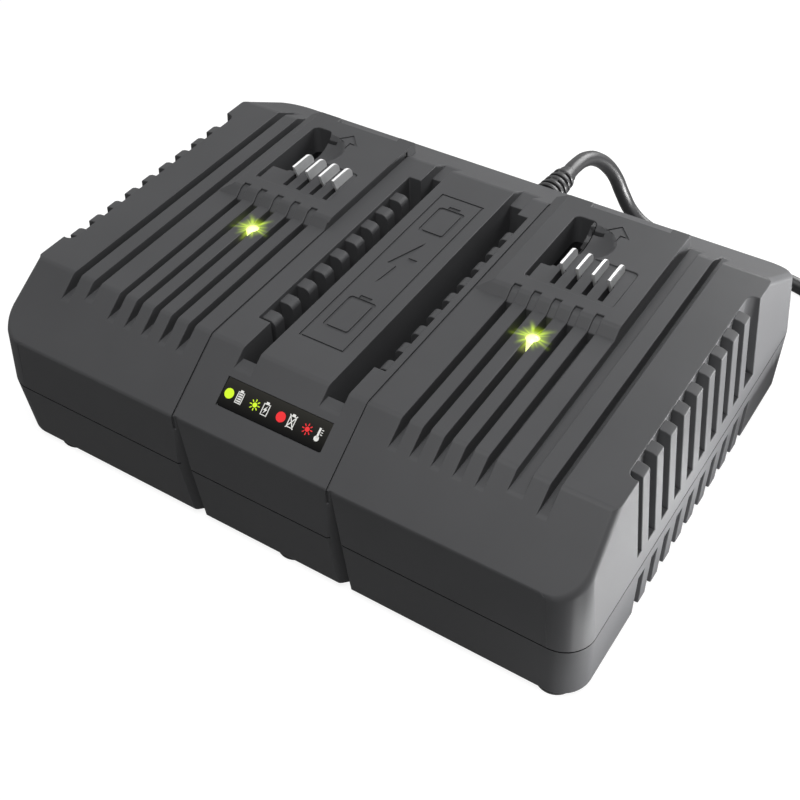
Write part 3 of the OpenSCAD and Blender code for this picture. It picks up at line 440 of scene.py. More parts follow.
def fold(edge):
    """How far an edge turns, in degrees: above 0 outwards and below 0 inwards."""
    if len(edge.link_faces) != 2:
        return 0.0
    return math.degrees(edge.calc_face_angle_signed(0.0))


# An edge that folds by more than this, in degrees, is a corner
SHARP = 28.0
# A face broader than this, in millimetres, keeps its own shade beside another broad one
BROAD = 0.9
# Faces share their shade where they turn by less than these angles, given as cosines
BROAD_TURN = math.cos(math.radians(33))
NARROW_TURN = math.cos(math.radians(50))


def weigh(bm, choose):
    """Writes each outward edge's rounding as a share of the widest, which it returns.

    choose gives an edge's rounding. Edges that stay as they are keep a crisp shade.
    """
    layer = bm.edges.layers.float.new("bevel_weight_edge")
    widths = {edge: choose(edge) if fold(edge) > SHARP else 0.0 for edge in bm.edges}
    widest = max(widths.values())
    for edge, width in widths.items():
        edge[layer] = width / widest
        edge.smooth = width > 0 or abs(fold(edge)) < SHARP
    return widest


def even_shade(mesh):
    """Shades flat faces flat right up to their rounded edges.

    Each corner of a face takes the mean of the faces round it that turn little from its own,
    where a broad face counts far more than a narrow one.
    """
    around = [[] for _ in mesh.vertices]
    breadths = []
    for face in mesh.polygons:
        longest = max((mesh.vertices[a].co - mesh.vertices[b].co).length for a, b in face.edge_keys)
        breadths.append(face.area / longest / MM)
        for index in face.vertices:
            around[index].append((face.normal.copy(), breadths[-1]))
    normals = []
    for face, breadth in zip(mesh.polygons, breadths):
        for index in face.vertices:
            total = Vector()
            for normal, other in around[index]:
                nearest = BROAD_TURN if min(breadth, other) > BROAD else NARROW_TURN
                if normal.dot(face.normal) > nearest:
                    total += normal * other ** 3
            normals.append(total.normalized() if total.length else face.normal)
    mesh.normals_split_custom_set(normals)


def round_off(obj, widest, segments):
    """Rounds the weighed edges of a piece that is already in the scene."""
    bevel = obj.modifiers.new("Rounding", "BEVEL")
    bevel.limit_method = "WEIGHT"
    bevel.width = widest
    bevel.segments = segments
    bevel.use_clamp_overlap = False
    bevel.loop_slide = False
    plain = obj.data
    name = plain.name
    graph = bpy.context.evaluated_depsgraph_get()
    rounded = bpy.data.meshes.new_from_object(obj.evaluated_get(graph))
    obj.modifiers.clear()
    obj.data = rounded
    bpy.data.meshes.remove(plain)
    rounded.name = name
    even_shade(rounded)


def eased(node, name, materials, edge, segments=2, sort=None, shape=None):
    """A finer copy of a CAD node, its outward edges rounded by edge.

    edge is one size, or gives an edge's own. sort, where it is given, picks the material of a
    face by its number, and shape moves corners.
    """
    bm = solid_copy(node)
    if shape:
        shape(bm)
    widest = weigh(bm, edge if callable(edge) else lambda each: edge)
    if sort:
        for face in bm.faces:
            face.material_index = sort(face)
    obj = mesh_object(name, bm)
    finish(obj, materials, (node,))
    round_off(obj, widest, segments)
    return obj


def turned(bm, profile, place=Matrix.Identity(4), steps=48):
    """Adds a profile of (radius, height) points, in millimetres, spun round the upright."""
    verts = [bm.verts.new(mm(radius, 0, height)) for radius, height in profile]
    edges = [bm.edges.new(pair) for pair in zip(verts, verts[1:])]
    made = bmesh.ops.spin(
        bm, geom=verts + edges, cent=(0, 0, 0), axis=(0, 0, 1), angle=2 * math.pi, steps=steps,
        use_merge=True, use_duplicate=False,
    )
    spun = set(verts)
    for item in made["geom_last"]:
        if isinstance(item, bmesh.types.BMVert):
            spun.add(item)
    reach = grow(spun)
    bmesh.ops.remove_doubles(bm, verts=reach, dist=1e-6)
    reach = [vert for vert in reach if vert.is_valid]
    bmesh.ops.transform(bm, matrix=place, verts=reach)
    faces = list({face for vert in reach for face in vert.link_faces})
    bmesh.ops.recalc_face_normals(bm, faces=faces)


def grow(verts):
    """All vertices joined to the given ones."""
    seen = set(verts)
    queue = list(verts)
    while queue:
        vert = queue.pop()
        for edge in vert.link_edges:
            other = edge.other_vert(vert)
            if other not in seen:
                seen.add(other)
                queue.append(other)
    return list(seen)


def block(bm, low, high, place=Matrix.Identity(4)):
    """Adds a box between two corners, in millimetres."""
    low, high = mm(*low), mm(*high)
    middle = Matrix.Translation((low + high) / 2)
    size = Matrix.Diagonal((*(high - low), 1.0))
    bmesh.ops.create_cube(bm, size=1.0, matrix=place @ middle @ size)


# Camera and cord


# The camera's place in millimetres, its turns in degrees, and its lens
CAMERA_PLACE = (193.9, -288.7, 346.9)
CAMERA_AZIMUTH = 34.30
CAMERA_ELEVATION = 44.84
CAMERA_ROLL = -2.23
SENSOR_W = 36.0
FOCAL_PIXELS = 1240.35
FRAME_PIXELS = 800.0


class CHARGER_OT_camera(bpy.types.Operator):
    """Looks down on the charger from its front right corner"""

    bl_idname = "charger.camera"
    bl_label = "Camera"

    def execute(self, context):
        azimuth = math.radians(CAMERA_AZIMUTH)
        elevation = math.radians(CAMERA_ELEVATION)
        roll = math.radians(CAMERA_ROLL)
        back = Vector((
            math.sin(azimuth) * math.cos(elevation),
            -math.cos(azimuth) * math.cos(elevation),
            math.sin(elevation),
        ))
        right = (-back).cross(Vector((0, 0, 1))).normalized()
        up = right.cross(-back)
        turned_right = math.cos(roll) * right + math.sin(roll) * up
        turned_up = -math.sin(roll) * right + math.cos(roll) * up
        lens = bpy.data.cameras.new("Camera")
        lens.lens = SENSOR_W * FOCAL_PIXELS / FRAME_PIXELS
        lens.sensor_width = SENSOR_W
        lens.clip_start = 0.01
        camera = bpy.data.objects.new("Camera", lens)
        turn = Matrix((turned_right, turned_up, back)).transposed()
        camera.matrix_world = Matrix.Translation(mm(*CAMERA_PLACE)) @ turn.to_4x4()
        context.scene.collection.objects.link(camera)
        context.scene.camera = camera
        return {"FINISHED"}


# Where the lead leaves its relief, and the height of its middle line on the floor
EXIT = (11.0, 111.0, 46.0)
CORD_LIE = 3.25
# The tied coil: its middle, the radius and height of its middle line, and its turns
COIL = (187.0, 84.0)
COIL_R = 38.5
COIL_H = 11.25
COIL_TURNS = 6.25
COIL_STEPS = 32
# How far each turn lies from the coil's middle line, and where round it, in degrees
STRAND_R = 7.0
FIRST_STRAND = -45.0
STRAND_STEP = -360.0 / 7
# How far the plug lies in front of the coil's middle
PLUG_AHEAD = 58


def lead_route():
    """The lead's points from its exit to the coil, in millimetres."""
    x, y, h = EXIT
    join_y = COIL[1] + COIL_R + STRAND_R * math.cos(math.radians(FIRST_STRAND))
    return [
        (x, y, h), (x, y + 5.5, h), (x + 0.7, y + 15.1, h - 1.5), (x + 2.6, y + 23.5, h - 6),
        (x + 5.6, y + 29.7, h - 12.8), (x + 8.3, y + 32.5, h - 19), (x + 11.2, y + 33.5, h - 25.7),
        (x + 17.2, y + 33.5, 11.4), (x + 26.2, y + 33.5, 5.6), (x + 37, y + 33.5, CORD_LIE + 0.5),
        (x + 50, y + 33.5, CORD_LIE + 0.1), (x + 64, y + 33.6, CORD_LIE), (x + 77, y + 33.6, CORD_LIE),
        (98, 144.3, CORD_LIE), (107, 143, CORD_LIE), (116, 139.8, CORD_LIE), (124, 135.9, CORD_LIE),
        (132, 132, CORD_LIE), (141, 128.8, CORD_LIE + 0.5), (150.4, join_y, CORD_LIE + 1.5),
        (162.4, join_y, 6.3), (176, join_y, 6.3),
    ]


def coil_route():
    """The coil's points: each turn lies beside the last, round the ring's own middle line."""
    points = []
    for step in range(int(COIL_TURNS * COIL_STEPS) + 1):
        turn = step / COIL_STEPS
        strand = math.radians(FIRST_STRAND + STRAND_STEP * turn)
        radius = COIL_R + STRAND_R * math.cos(strand)
        angle = math.radians(90 - 360 * turn)
        points.append((
            COIL[0] + radius * math.cos(angle),
            COIL[1] + radius * math.sin(angle),
            COIL_H + STRAND_R * math.sin(strand),
        ))
    return points


def tail_route(last):
    """From the coil's last point to the plug."""
    x = last[0]
    plug_y = COIL[1] - PLUG_AHEAD
    return [
        (x, COIL[1] - 12, 10.4), (x, COIL[1] - 24, 10.0), (x, plug_y + 27, 8.5),
        (x, plug_y + 20, 8.0), (x, plug_y + 13, 8.3), (x, plug_y + 6, 9.5), (x, plug_y, 9.5),
    ]


# The strain relief: where it starts, its collar's radius and thickness, its neck and its rings
RELIEF_Y = 82.6
COLLAR = (5.2, 2.6)
NECK_R = 4.4
RING_Y = 91.2
RING_COUNT = 5
RING_PITCH = 3.4
RING_T = 2.0
RING_R = 6.1
RING_TAPER = 0.3


def relief_radius(at):
    """Outside radius of the rings, which taper towards the cord."""
    return RING_R - RING_TAPER * (at - RING_Y) / RING_PITCH


def relief_mesh():
    """Rings round a tapered sleeve, joined by webs that are turned from gap to gap."""
    bm = bmesh.new()
    lie = Matrix.Translation(mm(EXIT[0], 0, EXIT[2])) @ Matrix.Rotation(-math.pi / 2, 4, "X")
    end = EXIT[1]
    sleeve = [
        (0, RELIEF_Y), (COLLAR[0], RELIEF_Y), (COLLAR[0], RELIEF_Y + COLLAR[1]),
        (NECK_R, RELIEF_Y + COLLAR[1]), (NECK_R, RING_Y), (4.1, RING_Y + 6), (3.8, end - 1),
        (3.5, end - 0.2), (3.2, end), (0, end),
    ]
    turned(bm, sleeve, lie)
    for k in range(RING_COUNT):
        at = RING_Y + 0.05 + RING_PITCH * k
        r = relief_radius(at)
        ring = [(3.5, at), (r - 0.5, at), (r - 0.15, at + 0.15), (r, at + 0.5), (r, at + RING_T - 0.5)]
        ring += [(r - 0.15, at + RING_T - 0.15), (r - 0.5, at + RING_T), (3.5, at + RING_T)]
        turned(bm, ring + ring[:1], lie)
    for k in range(RING_COUNT - 1):
        at = RING_Y + RING_PITCH * k + RING_T - 0.2
        r = relief_radius(at) - 0.5
        for turn in (0, 180):
            spot = lie @ Matrix.Rotation(math.radians(turn + 90 * (k % 2)), 4, "Z")
            block(bm, (3.4, -1.6, at), (r, 1.6, at + RING_PITCH - RING_T + 0.4), spot)
    return bm


class CHARGER_OT_cord(bpy.types.Operator):
    """Lays the mains lead from the housing to its coil and plug"""

    bl_idname = "charger.cord"
    bl_label = "Mains lead"

    def execute(self, context):
        settings = context.scene.charger_cord
        coil = coil_route()
        points = lead_route() + coil + tail_route(coil[-1])
        curve = bpy.data.curves.new("mains_lead", "CURVE")
        curve.dimensions = "3D"
        curve.bevel_depth = settings.diameter / 2
        curve.bevel_resolution = 5
        curve.resolution_u = 4
        curve.use_fill_caps = True
        spline = curve.splines.new("BEZIER")
        spline.bezier_points.add(len(points) - 1)
        for knot, point in zip(spline.bezier_points, points):
            knot.co = mm(*point)
            knot.handle_left_type = knot.handle_right_type = "AUTO"
        lead = bpy.data.objects.new("mains_lead", curve)
        sheath = surface("Lead sheath", settings.tint, 0.36, bump=0.12, group={"Grain": 1400.0})
        finish(lead, sheath, ("power_cord", "cord_coil", "cord_tail"))
        rubber = surface("Lead moulding", settings.tint, 0.4, bump=0.15, group={"Grain": 1500.0})
        relief = finish(mesh_object("cord_relief", relief_mesh()), rubber, ("strain_relief",))
        relief.data.set_sharp_from_angle(angle=math.radians(35))
        plug = eased("plug_body", "plug_moulding", rubber, 0.0014, 3)
        brass = metal("Prong metal", (0.72, 0.66, 0.46), 0.28)
        prongs = eased("plug_prongs", "plug_pins", brass, 0.0004, 2)
        strap = surface("Strap", (0.012, 0.012, 0.013), 0.9, woven_loops, 0.5, 0.0002)
        tie = dress("cord_tie", strap)
        return {"FINISHED"}


# Housing

SHELLS = ("upper_housing", "lower_housing")
# Where the arrows behind the blades are engraved, and the heights inside the parting groove, whose
# faces take a painted shadow
ARROWS = (1 - BAY_X, 1 + BAY_X)
PARTING = (PART_H - 0.65, PART_H + 0.05)


def in_fine_place(x, y, z):
    """Whether a point lies on the parting groove, a seam or an engraved mark."""
    parting = PART_H - 1.2 < z < PART_H + 0.6
    ridge_mark = abs(x) < 9.6 and -51 < y < 44 and z > TRAY_H - 1
    label = abs(x) < LABEL_SIZE[0] / 2 + 0.4 and y < -LABEL_BACK + 7 and z > EDGE_H + 1
    arrow = any(abs(x - arrow_x) < 6 for arrow_x in ARROWS) and 44 < y < 56 and z > TRAY_H + 1
    seam = any(abs(x - seam_x) < 0.8 for seam_x in SEAMS) and z > EDGE_H - 7
    notch = any(abs(x - seam_x) < 9 for seam_x in SEAMS) and z < EDGE_H - 1 and y < 6 - HALF_D
    return parting or ridge_mark or label or arrow or seam or notch


# Edges further out than this belong to the sides, and a crease folds by less than this, in degrees
OUTER_X = 104
CREASE_FOLD = 45


def edge_rounding(edge, sizes):
    """The rounding of an outward edge of either shell, by where it lies."""
    x, y, z = (edge.verts[0].co + edge.verts[1].co) / 2 / MM
    if in_fine_place(x, y, z):
        return 0.0
    normals = [face.normal for face in edge.link_faces]
    sloped = any(abs(n.y) > 0.4 and 0.7 < n.z < 0.95 for n in normals)
    level = any(n.z > 0.99 for n in normals)
    upright = max((abs(n.x) for n in normals if abs(n.z) < 0.35), default=None)
    outer = abs(x) > OUTER_X or abs(y) > HALF_D - 3
    if sloped and upright is not None and outer and z > EDGE_H - 2:
        return sizes.front + (sizes.rim - sizes.front) * upright
    if sloped and level and fold(edge) < CREASE_FOLD:
        return sizes.crease
    if z < BASE_H + 1 and outer:
        return sizes.front
    return sizes.edge


# A ray from an edge starts this far off it and ends beyond the whole charger, in metres
RAY_START = 0.3 * MM
RAY_LENGTH = 0.3


def open_to_air(edge, walls):
    """Whether an edge can be seen from outside the closed housing."""
    out = sum((face.normal for face in edge.link_faces), Vector()).normalized()
    middle = (edge.verts[0].co + edge.verts[1].co) / 2
    return walls.ray_cast(middle + RAY_START * out, out, RAY_LENGTH)[0] is None


def in_parting(face):
    """1 for the faces inside the parting groove, which take a painted shadow, and 0 for the rest."""
    return int(all(PARTING[0] < vert.co.z / MM < PARTING[1] for vert in face.verts))


def housing_walls():
    """Both shells as one tree that rays can be cast against."""
    bm = bmesh.new()
    for node in SHELLS:
        bm.from_mesh(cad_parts[node].data)
    tree = BVHTree.FromBMesh(bm)
    bm.free()
    return tree


# The bars that cut the notches: their side, and their length below and above the front edge
BAR_SIDE = 8.0
BAR_BELOW = 62.0
BAR_ABOVE = 2.0
# A notch's corner starts this far beside the seam and behind the front, and leans as it falls
NOTCH_START = (0.9, 1.6)
NOTCH_LEAN = (2.0 / 48.0, 3.0 / 48.0)


def notch_bars():
    """Two leaning square bars, whose inner corners cut the notches."""
    bm = bmesh.new()
    length = BAR_BELOW + BAR_ABOVE
    size = Matrix.Diagonal((BAR_SIDE * MM, BAR_SIDE * MM, length * MM, 1.0))
    corner = Matrix.Translation((0.5, 0.5, 0.5 - BAR_BELOW / length))
    outwards = Matrix.Rotation(math.radians(-135.0), 4, "Z")
    lean = Matrix.Identity(4)
    lean[0][2] = -NOTCH_LEAN[0]
    lean[1][2] = -NOTCH_LEAN[1]
    for seam_x in SEAMS:
        start = Matrix.Translation(mm(seam_x + NOTCH_START[0], NOTCH_START[1] - HALF_D, EDGE_H))
        bmesh.ops.create_cube(bm, size=1.0, matrix=start @ lean @ outwards @ size @ corner)
    bmesh.ops.recalc_face_normals(bm, faces=bm.faces)
    return bm


def notched(node):
    """A bmesh of a shell with the notch below each seam cut into its front."""
    blank = mesh_object(node + "_blank", solid_copy(node))
    bars = mesh_object(node + "_bars", notch_bars())
    cut = blank.modifiers.new("Notches", "BOOLEAN")
    cut.operation = "DIFFERENCE"
    cut.solver = "EXACT"
    cut.object = bars
    for scrap in (blank, bars):
        bpy.context.scene.collection.objects.link(scrap)
    bm = bmesh.new()
    bm.from_object(blank, bpy.context.evaluated_depsgraph_get())
    for scrap in (blank, bars):
        bpy.data.objects.remove(scrap, do_unlink=True)
    bmesh.ops.remove_doubles(bm, verts=bm.verts, dist=MERGE)
    bm.normal_update()
    return bm


class CHARGER_OT_housing(bpy.types.Operator):
    """Finishes both moulded shells, with their edges rounded"""

    bl_idname = "charger.housing"
    bl_label = "Housing"

    def execute(self, context):
        sizes = context.scene.charger_case
        plastic = shell_plastic(sizes, context.scene.charger_lamps)
        # Painted shadow: the faces inside the parting groove take a darker copy of the shell plastic
        shade = surface("Parting shade", sizes.painted_shade_tint, 0.7, bump=0.1, Specular_IOR_Level=0.1)
        walls = housing_walls()

        def rounding(edge):
            return edge_rounding(edge, sizes) if open_to_air(edge, walls) else 0.0

        for node in SHELLS:
            bm = notched(node)
            widest = weigh(bm, rounding)
            for face in bm.faces:
                face.material_index = in_parting(face)
            shell = mesh_object(node.replace("housing", "shell"), bm)
            finish(shell, (plastic, shade), (node,))
            round_off(shell, widest, 3)
        rubber = surface("Foot rubber", (0.02, 0.02, 0.02), 0.75, bump=0.4, group={"Grain": 1500.0})
        eased("rubber_feet", "feet", rubber, 0.0005)
        steel = metal("Screw steel", (0.62, 0.62, 0.64), 0.32)
        eased("housing_screws", "case_screws", steel, SCREW_EDGE)
        return {"FINISHED"}


# Heights of the floor and the fingers round the blades, where each is brought up to, and how
# closely a corner has to match
FLOOR_LEVELS = ((70.6, 72.7), (72.2, 72.85))
LEVEL_MATCH = 0.05 * MM
# Below this height, a terminal block's faces line its pockets and take a painted shade
POCKET_TOP = 69.0
# Rounding of the pockets' and the blades' edges, in metres
POCKET_EDGE = 0.00025
BLADE_EDGE = 0.00012
# How much of the blades' look is bare metal's, and the lines along them
PLATING = 0.35
BLADE_LINES = (300.0, 6000.0, 300.0)


def lift_floor(bm):
    """Brings the floor and the fingers round the blades up to just under the platform."""
    for vert in bm.verts:
        for level, lifted in FLOOR_LEVELS:
            if abs(vert.co.z - level * MM) < LEVEL_MATCH:
                vert.co.z = lifted * MM


def block_rounding(edge):
    """The rounding of a terminal block's edge, which leaves its floor's narrow necks whole."""
    top = max(vert.co.z for vert in edge.verts)
    return POCKET_EDGE if top < POCKET_TOP * MM else 0.0


def in_pocket(face):
    """1 for the faces of a terminal block that lie below its floor, which take a painted shade, and 0
    for the rest.
    """
    return int(face.calc_center_median().z < POCKET_TOP * MM)


def is_cut(face):
    """1 for the narrow cut faces of a blade, which take a whiter copy of the plating as a painted
    highlight, and 0 for its two broad sides.
    """
    return int(abs(face.normal.x) < 0.7)


class CHARGER_OT_terminals(bpy.types.Operator):
    """Finishes the terminal blocks, their blades and their screws"""

    bl_idname = "charger.terminals"
    bl_label = "Terminals"

    def execute(self, context):
        sizes = context.scene.charger_case
        plastic = surface("Block plastic", sizes.tint, 0.5, bump=0.1, Specular_IOR_Level=0.2)
        # Painted shade: the pocket faces take a darker copy of the block plastic
        shade = surface("Pocket painted shade", sizes.painted_shade_tint, 0.6, bump=0.1, Specular_IOR_Level=0.2)
        tin = metal("Tin plating", (0.55, 0.555, 0.56), 0.55, BLADE_LINES)
        # Painted highlight: the narrow faces of the blades take a whiter copy of the plating
        cut = metal("Painted edge highlight", (0.95, 0.95, 0.95), 0.5, BLADE_LINES)
        for plated in (tin, cut):
            plated.node_tree.nodes["Principled BSDF"].inputs["Metallic"].default_value = PLATING
        steel = metal("Terminal screw steel", (0.62, 0.62, 0.64), 0.32)
        for side in ("left", "right"):
            eased(
                side + "_terminal_block", side + "_block", (plastic, shade),
                block_rounding, sort=in_pocket, shape=lift_floor,
            )
            eased(
                side + "_blades", side + "_contacts", (tin, cut),
                BLADE_EDGE, sort=is_cut,
            )
        eased("terminal_screws", "block_screws", steel, SCREW_EDGE)
        return {"FINISHED"}


class CHARGER_OT_lamps(bpy.types.Operator):
    """Finishes the charge lamps and the small boards under them"""

    bl_idname = "charger.lamps"
    bl_label = "Charge lamps"

    def execute(self, context):
        lamps = context.scene.charger_lamps
        lens = lit("Lamp lens", (0.5, 0.6, 0.05), lamps.glow, 1.6)
        for side in ("left", "right"):
            dress(side + "_lamp_lens", lens)
        dress("indicator_leds", lit("Lamp chip", (0.7, 0.8, 0.5), lamps.glow, 1.0))
        varnish = board_varnish("Indicator varnish")
        eased("indicator_boards", "lamp_boards", varnish, BOARD_EDGE)
        return {"FINISHED"}


def board_varnish(name):
    """Green solder mask over copper tracks."""
    return surface(name, (0.012, 0.1, 0.035), 0.32, board_tracks, 0.3, 0.00004, Coat_Weight=0.4)


# Status panel


def on_slope():
    """The panel's own plane: x to the right, y up the slope, z out of it."""
    front_y = -LABEL_BACK
    height = TRAY_H - (FRONT_CREASE - front_y) * math.tan(SLOPE)
    return Matrix.Translation(mm(0, front_y, height)) @ Matrix.Rotation(SLOPE, 4, "X")


# Heights of the printed signs' top and foot, from the slope's own level
SIGN_TOP = -0.2
SIGN_FOOT = -0.36
# Places of the signs along the panel: the first lamp, the step between lamps, and the meaning
# beside each lamp
FIRST_SIGN = -18.4
SIGN_PITCH = 10.6
MEANING_X = 4.3
# Radius of a steady lamp's disc, and, in metres, the rounding of the panel's edges
LIT_R = 1.8
PANEL_EDGE = 0.00012


def print_outline(bm, points):
    """Adds a thin raised print with the given outline on the status panel."""
    place = on_slope()
    verts = [bm.verts.new(place @ mm(x, y, SIGN_FOOT)) for x, y in points]
    face = bm.faces.new(verts)
    top = bmesh.ops.extrude_face_region(bm, geom=[face])
    raised = [item for item in top["geom"] if isinstance(item, bmesh.types.BMVert)]
    rise = place.to_3x3() @ mm(0, 0, SIGN_TOP - SIGN_FOOT)
    bmesh.ops.translate(bm, vec=rise, verts=raised)


def print_disc(bm, x, y, radius, steps=32):
    """Adds a round print."""
    turns = [2 * math.pi * k / steps for k in range(steps)]
    print_outline(bm, [(x + radius * math.cos(a), y + radius * math.sin(a)) for a in turns])


def print_bar(bm, x, y, size, turn=0.0, out=0.0):
    """Adds a bar of (length, width), turned and pushed out from its middle, in degrees."""
    angle = math.radians(turn)
    along = Vector((math.cos(angle), math.sin(angle)))
    side = Vector((-along.y, along.x))
    middle = Vector((x, y)) + out * along
    half = (size[0] / 2, size[1] / 2)
    corners = [(-1, -1), (1, -1), (1, 1), (-1, 1)]
    print_outline(bm, [middle + a * half[0] * along + b * half[1] * side for a, b in corners])


def print_sun(bm, x, y):
    """Adds a disc with rays, the sign of a blinking lamp."""
    print_disc(bm, x, y, 0.85, 24)
    for k in range(8):
        print_bar(bm, x, y, (0.85, 0.34), 45 * k, 1.55)


def print_battery(bm, x, y):
    """Adds an upright battery's outline with its cap."""
    for side in (-1, 1):
        print_bar(bm, x + side * 1.15, y, (0.32, 4.1))
        print_bar(bm, x, y + side * 1.9, (2.62, 0.32))
    print_bar(bm, x, y + 2.35, (1.2, 0.6))


def print_charge(bm, x, y):
    """Adds four bars, the sign of a full battery."""
    for k in range(4):
        print_bar(bm, x, y - 1.2 + 0.8 * k, (1.5, 0.5))


def print_bolt(bm, x, y):
    """Adds a bolt, the sign of charging."""
    shape = [(0.5, 1.5), (-0.75, -0.2), (-0.1, -0.2), (-0.5, -1.5), (0.75, 0.25), (0.1, 0.25)]
    print_outline(bm, [(x + dx, y + dy) for dx, dy in shape])


def print_cross(bm, x, y):
    """Adds a cross over the battery, the sign of a fault."""
    for turn in (58, -58):
        print_bar(bm, x, y, (5.4, 0.36), turn)


def print_thermometer(bm, x, y):
    """Adds a thermometer, the sign of a hot battery."""
    print_disc(bm, x, y - 1.5, 0.95, 24)
    print_bar(bm, x, y + 0.5, (0.75, 3.4))
    for k in range(3):
        print_bar(bm, x + 1.05, y + 0.1 + 0.8 * k, (0.7, 0.3))


class CHARGER_OT_panel(bpy.types.Operator):
    """Makes the status panel: four lamp signs, each beside what it means"""

    bl_idname = "charger.panel"
    bl_label = "Status panel"

    def execute(self, context):
        lamps = context.scene.charger_lamps
        gloss = surface(
            "Panel lacquer", (0.004, 0.004, 0.0042), 0.2, group={"Drift": 0.1}, Specular_IOR_Level=0.08
        )
        tree = gloss.node_tree
        # Painted reflection: the lacquer's colour lightens from the foot of the label to its top
        height = add(tree, "SeparateXYZ", Vector=place_of(tree))
        sheen = spread(tree, (height, 2), 0.0, 1.0, LABEL_FOOT * MM, LABEL_TOP * MM)
        painted_light_ramp = blend(tree, sheen, (0.002, 0.002, 0.002, 1.0), (0.03, 0.029, 0.025, 1.0))
        feed(tree, painted_light_ramp, tree.nodes["Principled BSDF"].inputs["Base Color"])
        eased("status_label", "status_panel", gloss, PANEL_EDGE)
        ready, fault, means = bmesh.new(), bmesh.new(), bmesh.new()
        lamp_x = [FIRST_SIGN + SIGN_PITCH * k for k in range(4)]
        print_disc(ready, lamp_x[0], 0, LIT_R)
        print_sun(ready, lamp_x[1], 0)
        print_disc(fault, lamp_x[2], 0, LIT_R)
        print_sun(fault, lamp_x[3], 0)
        signs = (print_charge, print_bolt, print_cross)
        for x, sign in zip(lamp_x, signs):
            print_battery(means, x + MEANING_X, 0)
            sign(means, x + MEANING_X, 0)
        print_thermometer(means, lamp_x[3] + MEANING_X, 0)
        # The last value of each is a painted glow: the printed signs give off a little light of their
        # own colour, though they are no lamps
        prints = (
            ("ready_signs", ready, lamps.ready, 0.55),
            ("fault_signs", fault, lamps.fault, 0.3),
            ("meaning_signs", means, (0.75, 0.75, 0.72), 0.12),
        )
        for name, bm, tint, glow in prints:
            bmesh.ops.recalc_face_normals(bm, faces=bm.faces)
            ink = surface(
                name.replace("_", " ").title(), tint, 0.45, group={"Drift": 0.04},
                Emission_Color=(*tint, 1.0), Emission_Strength=glow,
            )
            piece = finish(mesh_object(name, bm), ink)
            piece.data.set_sharp_from_angle(angle=math.radians(40))
        return {"FINISHED"}


# Inside


# Height of the main board's upper face, and of the cans' tops
DECK_H = 17.6
BULK_TOP = 46.6
OUTPUT_TOP = 37.6
# The fuse's middle and half the length of its glass
FUSE_X = 8
GLASS_HALF = 4.4
# How far above the board a package's legs reach, and the packages with their finer copies' names
LEG_H = 1.6
PACKAGES = (
    ("control_chips", "chips"), ("power_transistors", "transistors"),
    ("bridge_rectifier", "rectifier"),
)


def at_top(height):
    """Sorts the upward faces near a height from the rest."""
    return lambda face: int(face.normal.z > 0.9 and face.calc_center_median().z > (height - 0.5) * MM)


def is_cap(face):
    """Sorts the fuse's metal caps from its glass."""
    return int(abs(face.calc_center_median().x / MM - FUSE_X) > GLASS_HALF)


def is_lead(face):
    """Sorts the thin legs near the board from a package's body."""
    return int(face.calc_center_median().z < (DECK_H + LEG_H) * MM and abs(face.normal.z) < 0.9)


class CHARGER_OT_board(bpy.types.Operator):
    """Finishes the main board and the small parts on it"""

    bl_idname = "charger.board"
    bl_label = "Main board"

    def execute(self, context):
        steel = metal("Board steel", (0.62, 0.62, 0.64), 0.3)
        tin = metal("Tinned clip", (0.7, 0.69, 0.66), 0.35)
        mould = surface("Package mould", (0.012, 0.012, 0.013), 0.5, bump=0.3, group={"Grain": 3000.0})
        eased("main_board", "circuit_board", board_varnish("Board varnish"), BOARD_EDGE)
        eased("board_screws", "deck_screws", steel, SCREW_EDGE)
        eased("fuse_clips", "fuse_holders", tin, 0.00025)
        glass = surface(
            "Fuse glass", (0.86, 0.9, 0.9), 0.06, group={"Drift": 0.01},
            Transmission_Weight=0.95, IOR=1.5,
        )
        caps = metal("Fuse caps", (0.74, 0.73, 0.7), 0.25)
        eased("fuse", "glass_fuse", (glass, caps), 0.0003, 2, is_cap)
        for node, name in PACKAGES:
            eased(node, name, (mould, tin), 0.00018, 2, is_lead)
        return {"FINISHED"}


class CHARGER_OT_windings(bpy.types.Operator):
    """Finishes the transformer and the chokes"""

    bl_idname = "charger.windings"
    bl_label = "Transformer and chokes"

    def execute(self, context):
        ferrite = surface("Ferrite", (0.035, 0.035, 0.037), 0.6, bump=0.5, group={"Grain": 2200.0})
        tape = surface(
            "Winding tape", (0.62, 0.42, 0.03), 0.3, wound_wire, 0.3, 0.00008, {"Turns": 120.0}
        )
        wire = metal("Enamelled wire", (0.55, 0.2, 0.07), 0.25, (900.0, 900.0, 900.0), Coat_Weight=0.6)
        powder = surface("Iron powder", (0.6, 0.5, 0.06), 0.55, bump=0.4, group={"Grain": 2000.0})
        eased("transformer_core", "core_halves", ferrite, 0.0006)
        eased("transformer_winding", "taped_winding", tape, 0.0008)
        eased("filter_choke_core", "filter_ring", ferrite, 0.0012, 3)
        dress("filter_choke_winding", wire)
        eased("output_choke_cores", "output_rings", powder, 0.001, 3)
        dress("output_choke_windings", wire)
        return {"FINISHED"}


